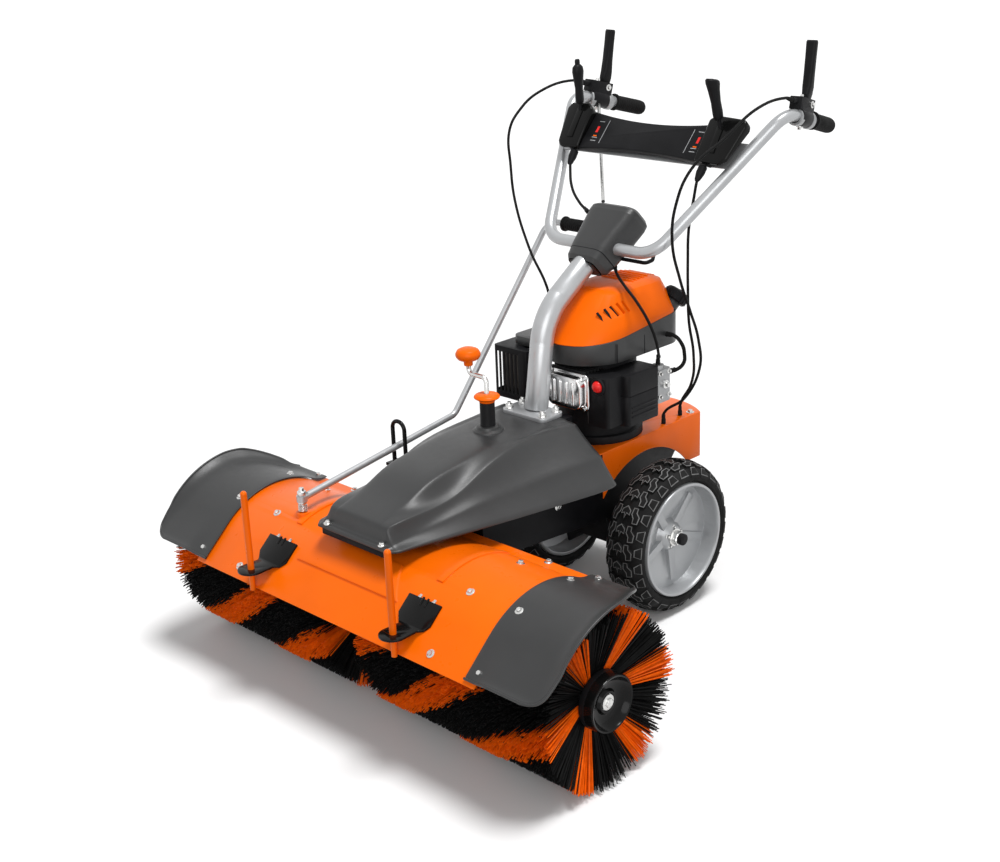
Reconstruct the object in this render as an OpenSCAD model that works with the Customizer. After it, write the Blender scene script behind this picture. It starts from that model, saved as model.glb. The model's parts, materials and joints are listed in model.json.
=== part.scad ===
// Walk-behind power brush sweeper.
// X runs across the machine, -Y is forward, Z is up and the ground is at Z = 0.

/* [Brush] */
// Length of the brush between its end discs
brush_w = 1000; // [800:10:1200]
// Diameter over the bristle tips
brush_d = 332; // [300:2:360]
// Outside diameter of the bristle backing
core_d = 96; // [80:2:120]
// Diameter of the brush shaft
shaft_d = 30; // [20:1:40]
// Diameter of the end discs
disc_d = 108; // [100:2:140]
// Thickness of the end discs
disc_t = 14; // [8:1:20]
// Distance from the wheel axle forward to the brush axis
wheelbase = 611; // [560:1:700]
// How far the outermost bristles splay out past the end discs
splay = 36; // [0:2:50]

/* [Hood] */
// Width of the painted middle of the hood
hood_w = 740; // [600:10:900]
// Outside radius of the hood's arch
hood_r = 190; // [178:1:220]
// Sheet thickness of the hood
hood_t = 2.5; // [1.5:0.5:4]
// Length of each end guard beyond the painted hood
guard_w = 152; // [120:2:200]
// Height of the lip that flares up at the outer end of a guard
guard_lip = 26; // [10:1:35]
// Width of the flat front flange of the hood
front_flange = 66; // [40:1:76]

/* [Marker rods] */
// Distance between the two marker rods
rod_pitch = 408; // [340:2:480]
// Diameter of a marker rod
rod_d = 13; // [8:0.5:18]
// Height of the straight part of a marker rod above its plate
rod_h = 154; // [80:2:220]

/* [Wheels] */
// Outside diameter of the tyres
wheel_d = 332; // [310:2:350]
// Width of a tyre
tyre_w = 96; // [70:2:110]
// Distance between the inner walls of the tyres
track_in = 224; // [220:2:280]
// Diameter of the rims
rim_d = 250; // [200:2:260]
// Diameter of the axle
axle_d = 25; // [18:1:32]

/* [Chassis] */
// Width of the deck over its skirts
deck_w = 208; // [190:2:214]
// Depth of the deck's side skirts
skirt_h = 103; // [60:1:120]
// Length of the straight part of the deck behind the axle
deck_tail = 185; // [150:1:220]
// Outside width of the frame's side plates
frame_w = 136; // [132:2:150]
// Thickness of the frame's plates
plate_t = 6; // [4:1:8]
// Wall of the moulded belt cover
cover_t = 3; // [2:0.5:4]

/* [Column and handlebar] */
// Diameter of the column tube
column_d = 48; // [38:1:54]
// Height of the handlebar's cross tube above the column plate
column_h = 298; // [260:2:340]
// Diameter of the handlebar tube
bar_d = 25; // [20:0.5:28]
// Half the length of the straight cross tube
bar_half = 142; // [120:2:170]
// Rise of the handlebar arms
arm_up = 259; // [200:1:300]
// Distance that the arms lean back
arm_back = 247; // [200:1:300]
// Distance that each arm spreads sideways
arm_out = 139; // [100:1:180]
// Length of the grips
grip_l = 88; // [70:1:105]
// Diameter of the grips
grip_d = 32; // [28:1:38]
// Length of the hand levers
lever_l = 126; // [100:1:150]

/* [Engine] */
// Width of the engine's cowl
cowl_w = 192; // [170:2:220]
// Length of the engine's cowl
cowl_l = 290; // [260:2:310]
// Height of the engine from the deck to the top of its cover
engine_h = 320; // [290:2:350]

/* [Steering and height crank] */
// Diameter of the steering rod
steer_d = 14; // [10:0.5:16]
// Throw of the height crank
crank_throw = 48; // [30:1:60]
// Diameter of the mushroom knobs
knob_d = 52; // [36:1:60]

/* [Hidden] */
$fn = 48;
e = 0.1;

// Running clearance of pins and shafts, and the gap between loose pieces
run = 0.05;
gap = 0.5;

// Main heights and stations, from the ground up
axle_y = 205;
axle_z = wheel_d / 2;
brush_y = axle_y - wheelbase;
brush_z = brush_d / 2;
brush_r = brush_d / 2;
shaft_r = shaft_d / 2;
gear_w = 112;
hood_z = brush_z - 15;
hood_top = hood_z + hood_r;
arm_t = 12;
arm_z0 = hood_top + 5;
arm_z1 = arm_z0 + arm_t;
belt_z = arm_z1 + 8;
belt_t = 9;
belt_room = 12;
pulley_r = frame_w / 2 - plate_t - belt_room;
deck_t = 4;
deck_z0 = arm_z1 + 18;
deck_z1 = deck_z0 + deck_t;
tower_z = arm_z1 + 108;
cover_top = tower_z + cover_t;
plate_h = 8;
column_z = cover_top + plate_h;
column_y = -18;
tower_y0 = -76;
tower_y1 = 16;

// Swivel neck of the brush head, carried by the arm over the hood
neck_r = 34;
journal_r = 28;
input_r = 11;
saddle_r = 45;
saddle_z = hood_z + sqrt(pow(hood_r - hood_t, 2) - saddle_r * saddle_r) - run;

// Hood: angles are measured at the arch centre from the rear, over the top, to the front
hood_a0 = 57;
hood_a1 = 137;
hood_lap = 26;
flange_turn = 5;
rear_flange = 26;
rib_x = rod_pitch / 2 - 4;

// Marker brackets
shelf_t = 4;
crease = [brush_y + hood_r * cos(hood_a1), hood_z + hood_r * sin(hood_a1)];
slope = [-sin(hood_a1 - flange_turn), cos(hood_a1 - flange_turn)];
lift = [cos(hood_a1 - flange_turn), sin(hood_a1 - flange_turn)];
shelf_back = crease - slope * 30 + lift * 1.2;
shelf_bend = crease + slope * 24 + lift * 1.2;
shelf_y = shelf_bend[0] - 43;
shelf_z = shelf_bend[1] + shelf_t;
shelf_r = 26;
rod_r = rod_d / 2;
rod_foot = 44;

// Ball joint of the steering rod on the hood
stud_x = -215;
stud_y = brush_y - 58;
stud_z = hood_z + 187;
stud_r = 5;
eye_z = stud_z + 28;
eye_h = 12;

// Handlebar
bar_r = bar_d / 2;
bar_y = column_y + 199;
bar_z = column_z + column_h;
tilt = atan2(arm_up, arm_back);
grip_in = 28;
grip_back = 197;
grip_drop = 54;
bar_corner = [bar_half, bar_y, bar_z];
bar_top = bar_corner + [arm_out, arm_back, arm_up];
bar_end = bar_top + [-grip_in, grip_back, -grip_drop];
grip_dir = (bar_end - bar_top) / norm(bar_end - bar_top);
grip_side = cross(grip_dir, [0, 0, 1]) / norm(cross(grip_dir, [0, 0, 1]));
grip_up = cross(grip_side, grip_dir);
lever_at = 69;
lever_up = 28;
lever_fwd = 16;
pin_r = 4;
sleeve_half = 40;
column_knee = [0, column_y + 30, column_z + column_h * 0.627];
latch_at = [bar_y + 15, bar_z - 23];
latch_r = 4;
latch_x = 112;

// Dash panel, in the plane of the arms
dash_low = 202;
dash_high = 302;
dash_v = bar_r + 2;
boot_x = 188;
boot_w = 262;
stick_r = 4;

// Engine
engine_y = 165;
cowl_x = 17;
cowl_y0 = 32;
cowl_z = deck_z1 + 183;
cowl_r = 46;
nose_back = 34;
seam_rise = 6;
seam_z = cowl_z + 40;
engine_top = deck_z1 + engine_h;
primer_z = deck_z1 + 149;
primer_y = 47;
cap_at = [cowl_x + 69, cowl_y0 + cowl_l - 17, seam_z + 34];
cap_dir = [0.25, 0.62, 0.74];
neck_h = 22;
cap_r = 25;
filler_r = 18;

// Height crank
crank_y = -157;
crank_r = 5;
sleeve_h = 60;
cap_h = 17;
crank_z = cover_top + sleeve_h + cap_h;

// Steering rod: straight run through the guide, bend, rise to the hand grip
steer_r = steer_d / 2;
steer_bend = [-232, -30, 416];
steer_top = [-245, 294, 776];
steer_end = [-120, 294, 776];
loop_y = -196;
loop_x = -225.5;
loop_half = 18;
loop_r = 4.5;

// Routes of the held cables, in order from the control to the machine
cable_out = bar_top + grip_dir * (lever_at - 52.5) + grip_up * lever_up;
route_clutch_left = concat(
  [flip(cable_out), flip(cable_out - grip_dir * 26)], [
  [-302, 337, 1048], [-308, 280, 1016], [-304, 241, 976], [-297, 234, 903], [-280, 226, 830],
  [-228, 212, 734], [-150, 188, 648], [-144, 190, 580], [-136, 206, 500], [-110, 232, 428],
  [-90, 240, 400], [-90, 240, deck_z1]]);
route_clutch_right = concat(
  [cable_out, cable_out - grip_dir * 26], [
  [276, 330, 1052], [256, 262, 1006], [230, 190, 954], [210, 169, 887], [200, 170, 817], [190, 208, 727],
  [180, 253, 653], [174, 290, 580], [162, 310, 510], [130, 300, 440], [90, 280, 402], [90, 280, deck_z1]]);
dash_edge = [bar_y + 203 * cos(tilt) - 22 * sin(tilt), bar_z + 203 * sin(tilt) + 22 * cos(tilt)];
route_shift_right = [
  [172, dash_edge[0], dash_edge[1]], [171, dash_edge[0] - 14, dash_edge[1] - 16], [167, 280, 874],
  [163, 270, 815], [161, 270, 750], [160, 272, 690], [158, 278, 622], [146, 310, 540], [112, 346, 456],
  [84, 344, 402], [84, 344, deck_z1]];
route_shift_left = [
  [-172, dash_edge[0], dash_edge[1]], [-171, dash_edge[0] - 14, dash_edge[1] - 16], [-164, 280, 896],
  [-142, 260, 868], [-104, 238, 846], [-58, 216, 832]];
route_throttle = [
  [38, 186, 742], [52, 174, 730], [92, 156, 708], [126, 150, 684], [150, 162, 638], [156, 174, 602],
  [148, 192, 568], [130, 216, 552], [122, 222, 543], [122, 222, 534]];
route_hose = [
  [104, 262, 588], [132, 263, 588], [146, 268, 574], [147, 278, 548], [142, 280, 524], [132, 266, 512],
  [128, 256, 512], [128, 250, 512]];
cable_r = 3;
hose_r = 4;

// Vector helpers

function unit(v) = v / norm(v);
function flip(v) = [-v[0], v[1], v[2]];
function square_to(d) = unit(cross(abs(d[2]) < 0.9 ? [0, 0, 1] : [1, 0, 0], d));

// Places children with the given axes at a point
module at_axes(p, x, y, z) {
  multmatrix([
    [x[0], y[0], z[0], p[0]],
    [x[1], y[1], z[1], p[1]],
    [x[2], y[2], z[2], p[2]],
    [0, 0, 0, 1]]) children();
}

// Points the children's Z axis along d
module aim(p, d) {
  z = unit(d);
  x = square_to(z);
  at_axes(p, x, cross(z, x), z) children();
}

// Extrudes a side profile, drawn as (y, z), across the machine
module across(w, x0 = 0) {
  translate([x0, 0, 0])
    rotate([90, 0, 90])
      linear_extrude(w) children();
}

module both_sides() {
  children();
  mirror([1, 0, 0]) children();
}

// Round bars with true bends

module straight(a, b, r) {
  aim(a, b - a) cylinder(h = norm(b - a), r = r);
}

// The bend is a hair slimmer than its straights and reaches a little way into both
module elbow(p, d_in, d_out, bend, r) {
  turn = acos(d_in * d_out);
  n = unit(d_out - (d_in * d_out) * d_in);
  centre = p - d_in * bend * tan(turn / 2) + n * bend;
  reach = 57 / bend;
  at_axes(centre, -n, d_in, cross(-n, d_in))
    rotate([0, 0, -reach]) rotate_extrude(angle = turn + 2 * reach)
      translate([bend, 0]) circle(r - 0.06);
}

module bent_bar(pts, bend, r) {
  last = len(pts) - 1;
  dirs = [for (i = [0:last - 1]) unit(pts[i + 1] - pts[i])];
  cut = [for (i = [0:last]) (i == 0 || i == last) ? 0 : bend * tan(acos(dirs[i - 1] * dirs[i]) / 2)];
  for (i = [0:last - 1])
    straight(pts[i] + dirs[i] * cut[i], pts[i + 1] - dirs[i] * cut[i + 1], r);
  for (i = [1:last - 1])
    elbow(pts[i], dirs[i - 1], dirs[i], bend, r);
}

// Tube swept through a route's own points, one ring at each
function route_dir(pts, i) =
  unit(pts[min(i + 1, len(pts) - 1)] - pts[max(i - 1, 0)]);

function route_ring(pts, i, r, sides) =
  let (t = route_dir(pts, i), u = unit(cross(t, [1, 0.3, 0])), v = cross(t, u))
  [for (k = [0:sides - 1]) pts[i] + r * (cos(360 * k / sides) * u + sin(360 * k / sides) * v)];

module cable(pts, r, sides = 8) {
  n = len(pts);
  rings = [for (i = [0:n - 1]) each route_ring(pts, i, r, sides)];
  walls = [for (i = [0:n - 2], k = [0:sides - 1])
    let (a = i * sides + k, b = i * sides + (k + 1) % sides)
    each [[a, b + sides, b], [a, a + sides, b + sides]]];
  caps = [for (k = [1:sides - 2])
    each [[0, k, k + 1], [(n - 1) * sides, (n - 1) * sides + k + 1, (n - 1) * sides + k]]];
  polyhedron(rings, concat(walls, caps));
}

// Rounded plan shapes made of true arcs

module round_rect(w, l, r) {
  square([w - 2 * r, l], center = true);
  square([w, l - 2 * r], center = true);
  for (x = [-1, 1], y = [-1, 1])
    translate([x * (w / 2 - r), y * (l / 2 - r)]) circle(r);
}

module round_box(size, r) {
  linear_extrude(size[2]) round_rect(size[0], size[1], r);
}

// Frame, transmission and deck

module frame_profile() {
  polygon([
    [-250, arm_z0], [tower_y0, arm_z0], [tower_y0, tower_z - plate_t], [tower_y1, tower_z - plate_t],
    [tower_y1, deck_z0], [axle_y + deck_tail - 30, deck_z0], [axle_y + deck_tail - 30, deck_z0 - 70],
    [axle_y + 75, axle_z + 50], [axle_y + 65, axle_z - 56], [axle_y - 65, axle_z - 56],
    [axle_y - 85, axle_z + 40], [-180, 230], [-250, arm_z0 - 60]]);
}

module arm_outline() {
  half = frame_w / 2;
  front = brush_y - 112;
  polygon([
    [-half, tower_y0], [-half, -250], [-52, -330], [-52, brush_y - 40], [-88, brush_y - 96], [-88, front],
    [88, front], [88, brush_y - 96], [52, brush_y - 40], [52, -330], [half, -250], [half, tower_y0]]);
}

module frame() {
  inner = frame_w - 2 * plate_t;
  color("#161616") {
    difference() {
      both_sides() across(plate_t, frame_w / 2 - plate_t) frame_profile();
      translate([-frame_w, axle_y, axle_z]) rotate([0, 90, 0]) cylinder(h = 2 * frame_w, r = axle_d / 2 + 1);
    }
    difference() {
      translate([0, 0, arm_z0]) linear_extrude(arm_t) arm_outline();
      translate([0, brush_y, arm_z0 - 1]) cylinder(h = arm_t + 2, r = journal_r + run);
    }
    translate([-frame_w / 2, tower_y0, tower_z - plate_t])
      cube([frame_w, tower_y1 - tower_y0, plate_t]);
    translate([-inner / 2 - e, -250, arm_z0 - 60]) cube([inner + 2 * e, plate_t, 60 + e]);
    translate([-inner / 2 - e, -180, 230]) rotate([atan2(axle_z + 40 - 230, axle_y - 85 + 180), 0, 0])
      cube([inner + 2 * e, 260, plate_t]);
    translate([-inner / 2 - e, axle_y + deck_tail - 36, deck_z0 - 70]) cube([inner + 2 * e, plate_t, 70]);
  }
}

module transmission() {
  case_w = frame_w - 2 * plate_t - 2;
  reach = track_in / 2 + tyre_w - 2;
  color("#1d1d1f") {
    difference() {
      translate([-case_w / 2, axle_y, axle_z]) rotate([90, 0, 90])
        linear_extrude(case_w) {
          circle(52);
          translate([-62, -30]) square([110, 92]);
        }
      for (i = [-2:2])
        translate([i * 22 - 3, axle_y - 70, axle_z + 54]) cube([6, 130, 10]);
    }
    translate([-reach, axle_y, axle_z]) rotate([0, 90, 0]) cylinder(h = 2 * reach, r = axle_d / 2);
  }
}

module deck_outline(inset) {
  half = deck_w / 2 - inset;
  tail_y = axle_y + deck_tail;
  bulge = 35;
  arc_r = (deck_w * deck_w / 4 + bulge * bulge) / (2 * bulge);
  intersection() {
    translate([-half, -60]) square([2 * half, tail_y + bulge + 80]);
    union() {
      translate([-half, -60]) square([2 * half, tail_y + 60 - inset]);
      translate([0, tail_y + bulge - arc_r]) circle(arc_r - inset, $fn = 96);
    }
  }
}

module deck() {
  sheet = 3;
  arch_r = wheel_d / 2 + 12;
  color("#f36a12")
    difference() {
      union() {
        translate([0, 0, deck_z0]) linear_extrude(deck_t) deck_outline(0);
        translate([0, 0, deck_z1 - skirt_h]) linear_extrude(skirt_h - deck_t + e)
          difference() {
            deck_outline(0);
            deck_outline(sheet);
          }
      }
      translate([-frame_w / 2 - 1, -80, deck_z1 - skirt_h - 1])
        cube([frame_w + 2, 80 + tower_y1 + 1, skirt_h + 2]);
      translate([-deck_w, -80, deck_z1 - skirt_h - 1]) cube([2 * deck_w, 146, skirt_h - deck_t + 1]);
      translate([-deck_w, axle_y, axle_z]) rotate([0, 90, 0]) cylinder(h = 2 * deck_w, r = arch_r);
      translate([0, engine_y, deck_z0 - 1]) cylinder(h = deck_t + 2, r = 20);
    }
}

// Belt cover: stations from the nose to the rear edge, each lofted to the next
// [share of the length, half width and height of the top edge, of the shoulder, of the side crease,
// half width at the flange]
cover_nose = brush_y - 113;
cover_rear = -12;
cover_stations = [
  [0, 72, 8, 84, 8, 92, 8, 99],
  [0.022, 70, 10, 86, 10, 98, 10, 110],
  [0.034, 64, 28, 82, 22, 98, 13, 113],
  [0.057, 62, 42, 82, 32, 98, 18, 116],
  [0.156, 62, 62, 86, 48, 106, 34, 128],
  [0.294, 62, 84, 92, 66, 116, 46, 143],
  [0.471, 64, 103, 98, 82, 129, 54, 161],
  [0.61, 68, 111, 98, 96, 139, 60, 176],
  [0.826, 76, 111, 94, 105, 153, 70, 198],
  [0.945, 80, 111, 104, 104, 161, 72, 209],
  [1, 80, 111, 106, 103, 164, 70, 206]];

function cover_section(s, inner) =
  let (
    w = inner ? cover_t : 0,
    y = cover_nose + s[0] * (cover_rear - cover_nose) + (s[0] < 0.05 ? w : 0),
    half = [[s[7] - w, 0], [s[5] - w, s[6] - w], [s[3] - w, s[4] - w], [s[1] - w, s[2] - w]])
  concat(
    [for (p = half) [-p[0], y, cover_z(p[1])]],
    [for (i = [3:-1:0]) [half[i][0], y, cover_z(half[i][1])]]);

function cover_z(h) = arm_z1 + max(h, 0) * (cover_top - arm_z1) / 111;

module belt_cover() {
  n = len(cover_stations);
  m = 8;
  outer = [for (s = cover_stations) each cover_section(s, false)];
  inner = [for (s = cover_stations) each cover_section(s, true)];
  shift = n * m;
  skin = [for (i = [0:n - 2], j = [0:m - 2])
    let (a = i * m + j, b = a + m)
    each [[a, b + 1, a + 1], [a, b, b + 1]]];
  liner = [for (f = skin) [f[0] + shift, f[2] + shift, f[1] + shift]];
  rims = [for (i = [0:n - 2], j = [0, m - 1])
    let (a = i * m + j, b = a + m)
    each j == 0
      ? [[a, b + shift, b], [a, a + shift, b + shift]]
      : [[a, b, b + shift], [a, b + shift, a + shift]]];
  ends = [for (i = [0, n - 1], j = [0:m - 2])
    let (a = i * m + j, b = a + 1)
    each i == 0
      ? [[a, b, b + shift], [a, b + shift, a + shift]]
      : [[a, b + shift, b], [a, a + shift, b + shift]]];
  color("#4e4e50")
    polyhedron(concat(outer, inner), concat(skin, liner, rims, ends));
}

// Column, console and handlebar

module column() {
  foot = [0, column_y, column_z];
  head = [0, bar_y, bar_z];
  reach = unit(head - column_knee);
  color("#c4c6c8") {
    difference() {
      union() {
        translate([0, column_y - 12, cover_top]) round_box([118, 66, plate_h], 14);
        bent_bar([foot - [0, 0, e], column_knee, head - reach * (bar_r + 3)], 125, column_d / 2);
        translate([-sleeve_half, bar_y, bar_z]) rotate([0, 90, 0])
          cylinder(h = 2 * sleeve_half, r = bar_r + 5);
      }
      translate([-sleeve_half - 1, bar_y, bar_z]) rotate([0, 90, 0])
        cylinder(h = 2 * sleeve_half + 2, r = bar_r + run);
    }
  }
}

module column_bolts() {
  color("#d8d8d6")
    for (x = [-46, 46], y = [-32, 8])
      translate([x, column_y + y, column_z]) {
        cylinder(h = 2, r = 9);
        cylinder(h = 9, r = 7.5, $fn = 6);
        cylinder(h = 13, r = 4);
      }
}

// Console pod that hides the clamp of the handlebar
console_tilt = 40;

module console_frame() {
  translate([0, bar_y, bar_z]) rotate([console_tilt, 0, 0]) children();
}

module console() {
  color("#505052")
    difference() {
      console_frame()
        hull() {
          for (x = [-1, 1]) {
            translate([x * 34, -44, -36]) cylinder(h = 68, r1 = 14, r2 = 8, $fn = 32);
            translate([x * 54, 74, -34]) cylinder(h = 66, r1 = 16, r2 = 10, $fn = 32);
          }
        }
      translate([-200, bar_y, bar_z]) rotate([0, 90, 0]) cylinder(h = 400, r = bar_r + gap);
      translate([-sleeve_half - 1, bar_y, bar_z]) rotate([0, 90, 0])
        cylinder(h = 2 * sleeve_half + 2, r = bar_r + 5 + gap);
      aim([0, bar_y, bar_z], column_knee - [0, bar_y, bar_z]) translate([0, 0, -4])
        cylinder(h = 200, r = column_d / 2 + gap);
      translate([42, latch_at[0], latch_at[1]]) rotate([0, 90, 0]) cylinder(h = 60, r = latch_r + run);
    }
}

function bar_points(s) = [
  [s * bar_end[0], bar_end[1], bar_end[2]],
  [s * bar_top[0], bar_top[1], bar_top[2]],
  [s * bar_corner[0], bar_corner[1], bar_corner[2]]];

module dash_frame() {
  translate([0, bar_y, bar_z]) rotate([tilt, 0, 0]) children();
}

function arm_x(w) = bar_half + arm_out * w / norm([arm_back, arm_up]);

module handlebar() {
  pts = concat(bar_points(-1), [for (i = [2:-1:0]) bar_points(1)[i]]);
  color("#c4c6c8") {
    bent_bar(pts, 60, bar_r);
    dash_frame() translate([0, 0, bar_r - 5])
      linear_extrude(2.5)
        polygon([
          [-arm_x(dash_low + 8), dash_low + 8], [arm_x(dash_low + 8), dash_low + 8],
          [arm_x(dash_high - 30), dash_high - 30], [-arm_x(dash_high - 30), dash_high - 30]]);
  }
}

// Frames along the right-hand grip: X to the side, Y up, Z along the tube
module on_grip(d) {
  at_axes(bar_top + grip_dir * d, grip_side, grip_up, grip_dir) children();
}

module grip_right() {
  l0 = norm(bar_end - bar_top) - grip_l;
  on_grip(l0)
    rotate_extrude()
      polygon([
        [bar_r + run, 0], [grip_d / 2 + 3, 0], [grip_d / 2 + 3, 4], [grip_d / 2, 7], [grip_d / 2, grip_l - 2],
        [grip_d / 2 - 3, grip_l + 4], [0, grip_l + 4], [0, grip_l + run], [bar_r + run, grip_l + run]]);
}

module grips() {
  color("#202022") both_sides() grip_right();
}

module bracket_right() {
  on_grip(lever_at)
    difference() {
      union() {
        translate([0, 0, -24]) cylinder(h = 46, r = bar_r + 6);
        translate([-13, bar_r, -34]) cube([26, lever_up + 10 - bar_r, 62]);
        translate([0, lever_up, -52]) cylinder(h = 24, r = 6);
      }
      translate([0, 0, -30]) cylinder(h = 60, r = bar_r + run);
      translate([-6, bar_r + 5.5, -2]) cube([12, 60, 40]);
    }
  on_grip(lever_at)
    translate([-10, lever_up, lever_fwd]) rotate([0, 90, 0]) cylinder(h = 20, r = pin_r);
}

module lever_brackets() {
  color("#1c1c1e") both_sides() bracket_right();
}

module lever_blade() {
  on_grip(lever_at)
    translate([0, lever_up, lever_fwd]) {
      difference() {
        union() {
          rotate([0, 90, 0]) cylinder(h = 11, r = 9, center = true);
          rotate([0, 90, 0]) linear_extrude(11, center = true)
            polygon([[-8, 4], [4, 8], [8, 40], [-8, 40]]);
          rotate([-96.5, 0, 0]) lever_handle();
        }
        rotate([0, 90, 0]) cylinder(h = 30, r = pin_r + run, center = true);
      }
    }
}

module lever_handle() {
  translate([0, 0, 30])
    linear_extrude(lever_l - 30) round_rect(22, 16, 6);
}

module lever_right() {
  color("#232325") lever_blade();
}

module lever_left() {
  color("#232325") mirror([1, 0, 0]) lever_blade();
}

// Dash panel: waisted plate between the arms with a pod at each end
module dash_outline() {
  half_low = arm_x(dash_low) - 36;
  half_high = arm_x(dash_high) - 30;
  waist_r = 900;
  difference() {
    polygon([
      [-half_low, dash_low], [half_low, dash_low], [half_high, dash_high - 12], [half_high - 12, dash_high],
      [12 - half_high, dash_high], [-half_high, dash_high - 12]]);
    translate([0, dash_high - 18 + waist_r]) circle(waist_r, $fn = 180);
    translate([0, dash_low + 14 - waist_r * 1.6]) circle(waist_r * 1.6, $fn = 240);
  }
}

module dash_panel() {
  color("#2b2b2d")
    dash_frame() translate([0, 0, dash_v])
      difference() {
        linear_extrude(14) dash_outline();
        for (x = [-1, 1])
          translate([x * boot_x, boot_w, -1]) linear_extrude(20) round_rect(46, 66, 12);
      }
}

module boot_right() {
  dash_frame() translate([boot_x, boot_w, dash_v])
    difference() {
      union() {
        linear_extrude(14) round_rect(45, 65, 11.5);
        translate([0, 0, 14]) linear_extrude(16, scale = 0.86) round_rect(60, 84, 18);
      }
      translate([-6, -34, -1]) cube([12, 68, 60]);
    }
}

module shift_boots() {
  color("#1a1a1c") both_sides() boot_right();
}

// Shift levers turn on the X axis in the slot of their pods
module shift_lever(lean) {
  dash_frame() translate([boot_x, boot_w, dash_v + 8])
    rotate([lean - tilt, 0, 0]) {
      rotate([0, 90, 0]) cylinder(h = 10, r = 7, center = true);
      cylinder(h = 58, r = stick_r);
      translate([0, 0, 52])
        rotate_extrude()
          polygon([[0, 0], [8, 0], [10, 6], [9, 30], [12, 58], [12, 72], [8, 80], [0, 82]]);
    }
}

module shift_lever_left() {
  color("#161618") mirror([1, 0, 0]) shift_lever(4);
}

module shift_lever_right() {
  color("#161618") shift_lever(16);
}

module shift_rod() {
  color("#b8babc")
    straight([-261, 486, 1006], [-46, 250, 850], 4);
}

module latch_loop() {
  color("#141414")
    bent_bar([
      [44, latch_at[0], latch_at[1]], [latch_x, latch_at[0], latch_at[1]],
      [latch_x, latch_at[0] + 22, latch_at[1] + 2], [latch_x - 8, latch_at[0] + 40, latch_at[1] + 24]],
      8, latch_r);
}

// Engine

// Plan of the cowl: a round nose, straight sides and a squarer tail
module cowl_plan(inset = 0, back = 0) {
  w = cowl_w - 2 * inset;
  l = cowl_l - 2 * inset - back;
  translate([cowl_x, cowl_y0 + inset + back]) {
    translate([0, w / 2]) circle(w / 2);
    translate([-w / 2, w / 2]) square([w, l - w / 2 - cowl_r]);
    translate([cowl_r - w / 2, w / 2]) square([w - 2 * cowl_r, l - w / 2]);
    for (x = [-1, 1])
      translate([x * (w / 2 - cowl_r), l - cowl_r]) circle(cowl_r);
  }
}

// Space on one side of the slanted seam between cowl and cover
module seam_side(up) {
  translate([0, cowl_y0, seam_z - up * gap / 2]) rotate([seam_rise, 0, 0])
    translate([-400, -400, up > 0 ? 0 : -300]) cube([800, 1200, 300]);
}

module engine_block() {
  color("#2a2a2c") {
    translate([0, engine_y, deck_z1]) {
      cylinder(h = 16, r = 98);
      cylinder(h = cowl_z - deck_z1, r = 86);
    }
    translate([-4, 50, deck_z1 + 98]) cube([78, 60, 64]);
    translate([60, 120, deck_z1 + 90]) cube([27, 50, 50]);
    translate([60, 205, deck_z1 + 90]) cube([45, 30, 40]);
    for (i = [0:4])
      translate([-14, 46 + 10 * i, deck_z1 + 88]) cube([90, 4, 84]);
  }
}

module engine_cowl() {
  color("#4a4a4c") {
    difference() {
      translate([0, 0, cowl_z]) linear_extrude(110) cowl_plan();
      seam_side(1);
    }
    aim(cap_at, cap_dir) translate([0, 0, -24]) cylinder(h = 24 + neck_h, r = filler_r);
    translate([cowl_x - cowl_w / 2 - 13, cowl_y0 + 63, cowl_z + 13]) round_box([76, 92, 18], 20);
  }
}

// Slab of the top cover, one of several that the hull joins
module cover_slab(z, h, inset, back) {
  translate([0, 0, z]) linear_extrude(h) cowl_plan(inset, back, $fn = 32);
}

module engine_cover() {
  crown = [cowl_x - 3, cowl_y0 + cowl_l / 2 + 38];
  color("#f36a12")
    difference() {
      hull() {
        cover_slab(seam_z - 30, 32, 0, 0);
        cover_slab(seam_z + 30, 4, 1, nose_back - 6);
        cover_slab(seam_z + 43, 4, 6, nose_back);
        translate([crown[0], crown[1], engine_top - 14])
          linear_extrude(7) round_rect(130, 190, 40, $fn = 32);
        translate([crown[0], crown[1], engine_top - 7])
          linear_extrude(7) round_rect(100, 160, 40, $fn = 32);
      }
      seam_side(-1);
      aim(cap_at, cap_dir) translate([0, 0, -40]) cylinder(h = 120, r = cap_r + 3);
      for (i = [0:4])
        translate([cowl_x + cowl_w / 2 - 20, cowl_y0 + 66 + 14 * i, seam_z + 65])
          rotate([0, -38, 0]) rotate([14, 0, 0]) cube([20, 6, 26], center = true);
    }
}

module valve_cover() {
  color("#d2d2d2")
    translate([39, 46, deck_z1 + 130]) rotate([90, 0, 0]) {
      round_box([104, 78, 8], 14);
      translate([0, 0, 8]) round_box([92, 66, 18], 18);
    }
}

module muffler() {
  color("#6b665f") {
    translate([-112, 68, deck_z1 + 84]) round_box([74, 66, 98], 16);
    translate([-80, 62, deck_z1 + 120]) rotate([0, 90, 0]) cylinder(h = 66, r = 14);
  }
}

module muffler_guard() {
  w = 96;
  l = 88;
  h = 112;
  color("#141414")
    translate([-112, 66, deck_z1 + 82])
      difference() {
        round_box([w, l, h], 10);
        translate([0, 0, 2]) round_box([w - 4, l - 4, h - 4], 8);
        translate([20, -20, -1]) cube([60, 80, h + 2]);
        for (i = [0:6])
          translate([-w / 2 - 1, -l / 2 + 12 + i * 10, 14]) cube([6, 5, h - 26]);
        for (i = [0:5])
          translate([-w / 2 + 12 + i * 11, -l / 2 - 1, 14]) cube([5, 6, h - 26]);
      }
}

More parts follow.
